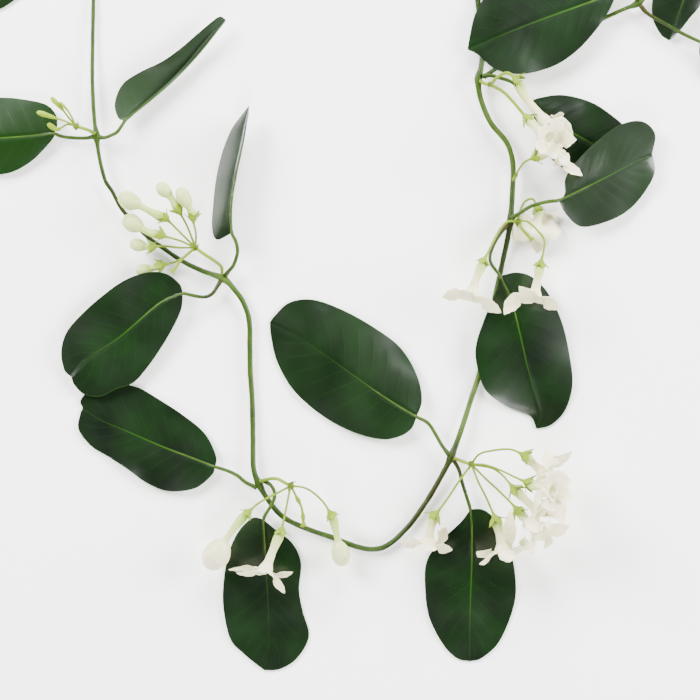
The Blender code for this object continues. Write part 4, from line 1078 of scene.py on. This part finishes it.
def buildBud(name, spec):
    look = budLook
    rows = look["rows"]
    path = tubePath(spec["tube"], look["hidden"], 40)
    ahead = (path[-1] - path[-4]).normalized()
    head, length = spec["head"] * mm, spec["length"] * mm
    whole = resample(path + [path[-1] + ahead * length], rows + 1)
    frames = crossFrames(whole)
    total = distances(whole)[-1]
    centre = total - length
    pear = look["pear"].get(name, look["pearOthers"])
    green = look["green"].get(name, look["greenOthers"])
    neck = centre - length * pear * look["seen"]

    def radius(reach):
        tube = profile(look["foot"], min(1, reach / max(neck, 1e-6))) * mm
        onHead = (reach - centre) / length
        if onHead < 0:
            onHead /= pear
        if onHead < -1:
            return tube
        taper = 1 - look["taper"] * max(0, onHead)
        ball = head * math.sqrt(max(0.0, 1 - onHead * onHead)) * taper
        if onHead > 0:
            return max(ball, 0.02 * mm)
        return min((tube ** 6 + ball ** 6) ** (1 / 6), head)   # head and neck run together

    def bend(u, v):
        i = round(v * rows)
        angle = 2 * math.pi * u
        onHead = max(0.0, (v * total - neck) / (total - neck))
        pleat = 1 + look["pleat"] * onHead * math.cos(5 * angle + look["twist"] * 6 * onHead)
        return (whole[i] + spoke(frames[i], angle) * radius(v * total) * pleat,
                {"along": v, "tone": green})

    shell = startShell()
    corners = addSheet(shell, look["sides"], rows, bend)
    bmesh.ops.remove_doubles(shell, verts=corners, dist=1e-6)
    closeEnds(shell, shell.verts)
    finishPiece(shell, "grown_" + name, name, [budSkin])


for title, build, specs in (("leaves", buildLeaf, leaves), ("flower heads", buildHead, heads),
                            ("flowers", buildFlower, flowers), ("buds", buildBud, buds)):
    for name, spec in specs.items():
        build(name, spec)
    print(title, "made")


# Table, light and camera

studio = {
    "lens": 200, "sensor": 36,      # mm
    "level": 6,                     # mm, the height at which a photo pixel has its real size
    "table": "#fbfbfa",
    "roughness": 0.8,
    "sky": 0.05,
    # name, place (m), size (m), watts: the large ones stand well off the line of sight, so that
    # level leaves don't mirror them; the small one only gives the wax its few glints
    "lamps": (("keyLight", (-1.2, 0.9, 1.1), 0.9, 120), ("fillLight", (1.5, 0.3, 0.8), 1.1, 105),
              ("backLight", (0.2, 1.5, 0.9), 0.8, 60), ("frontLight", (-0.1, -1.4, 1.0), 1.0, 55),
              ("glintLight", (0.3, 0.5, 1.7), 0.16, 1.6)),
    "floorSize": 6,                 # m
}


def buildTable():
    shell = bmesh.new()
    bmesh.ops.create_grid(shell, x_segments=1, y_segments=1, size=studio["floorSize"] / 2)
    # White paint, rolled: matt, so the table stays an even pale ground with soft shadows
    material, add, noises = startMaterial("rolledWhitePaint", {})
    finishMaterial(material, add, noises, {}, {"Base Color": hexColour(studio["table"]),
                                               "Roughness": studio["roughness"]})
    addMesh(shell, "table", [material])


def buildLight():
    world = bpy.data.worlds.new("studio")
    world.use_nodes = True
    sky = world.node_tree.nodes["Background"].inputs
    sky["Color"].default_value = (1, 1, 1, 1)
    sky["Strength"].default_value = studio["sky"]
    bpy.context.scene.world = world
    for name, spot, size, power in studio["lamps"]:
        light = bpy.data.lights.new(name, "AREA")
        light.shape = "DISK"
        light.size = size
        light.energy = power
        lamp = addObject(name, light)
        lamp.location = spot
        lamp.rotation_euler = (-Vector(spot)).to_track_quat("-Z", "Y").to_euler()


def buildCamera():
    camera = bpy.data.cameras.new("camera")
    camera.lens = studio["lens"]
    camera.sensor_width = studio["sensor"]
    camera.clip_end = 20
    distance = photo["side"] * photo["pixel"] * studio["lens"] / studio["sensor"]
    eye = addObject("camera", camera)
    eye.location = place((*photo["middle"], distance / mm + studio["level"]))
    bpy.context.scene.camera = eye


buildTable()
buildLight()
buildCamera()
print("studio made")
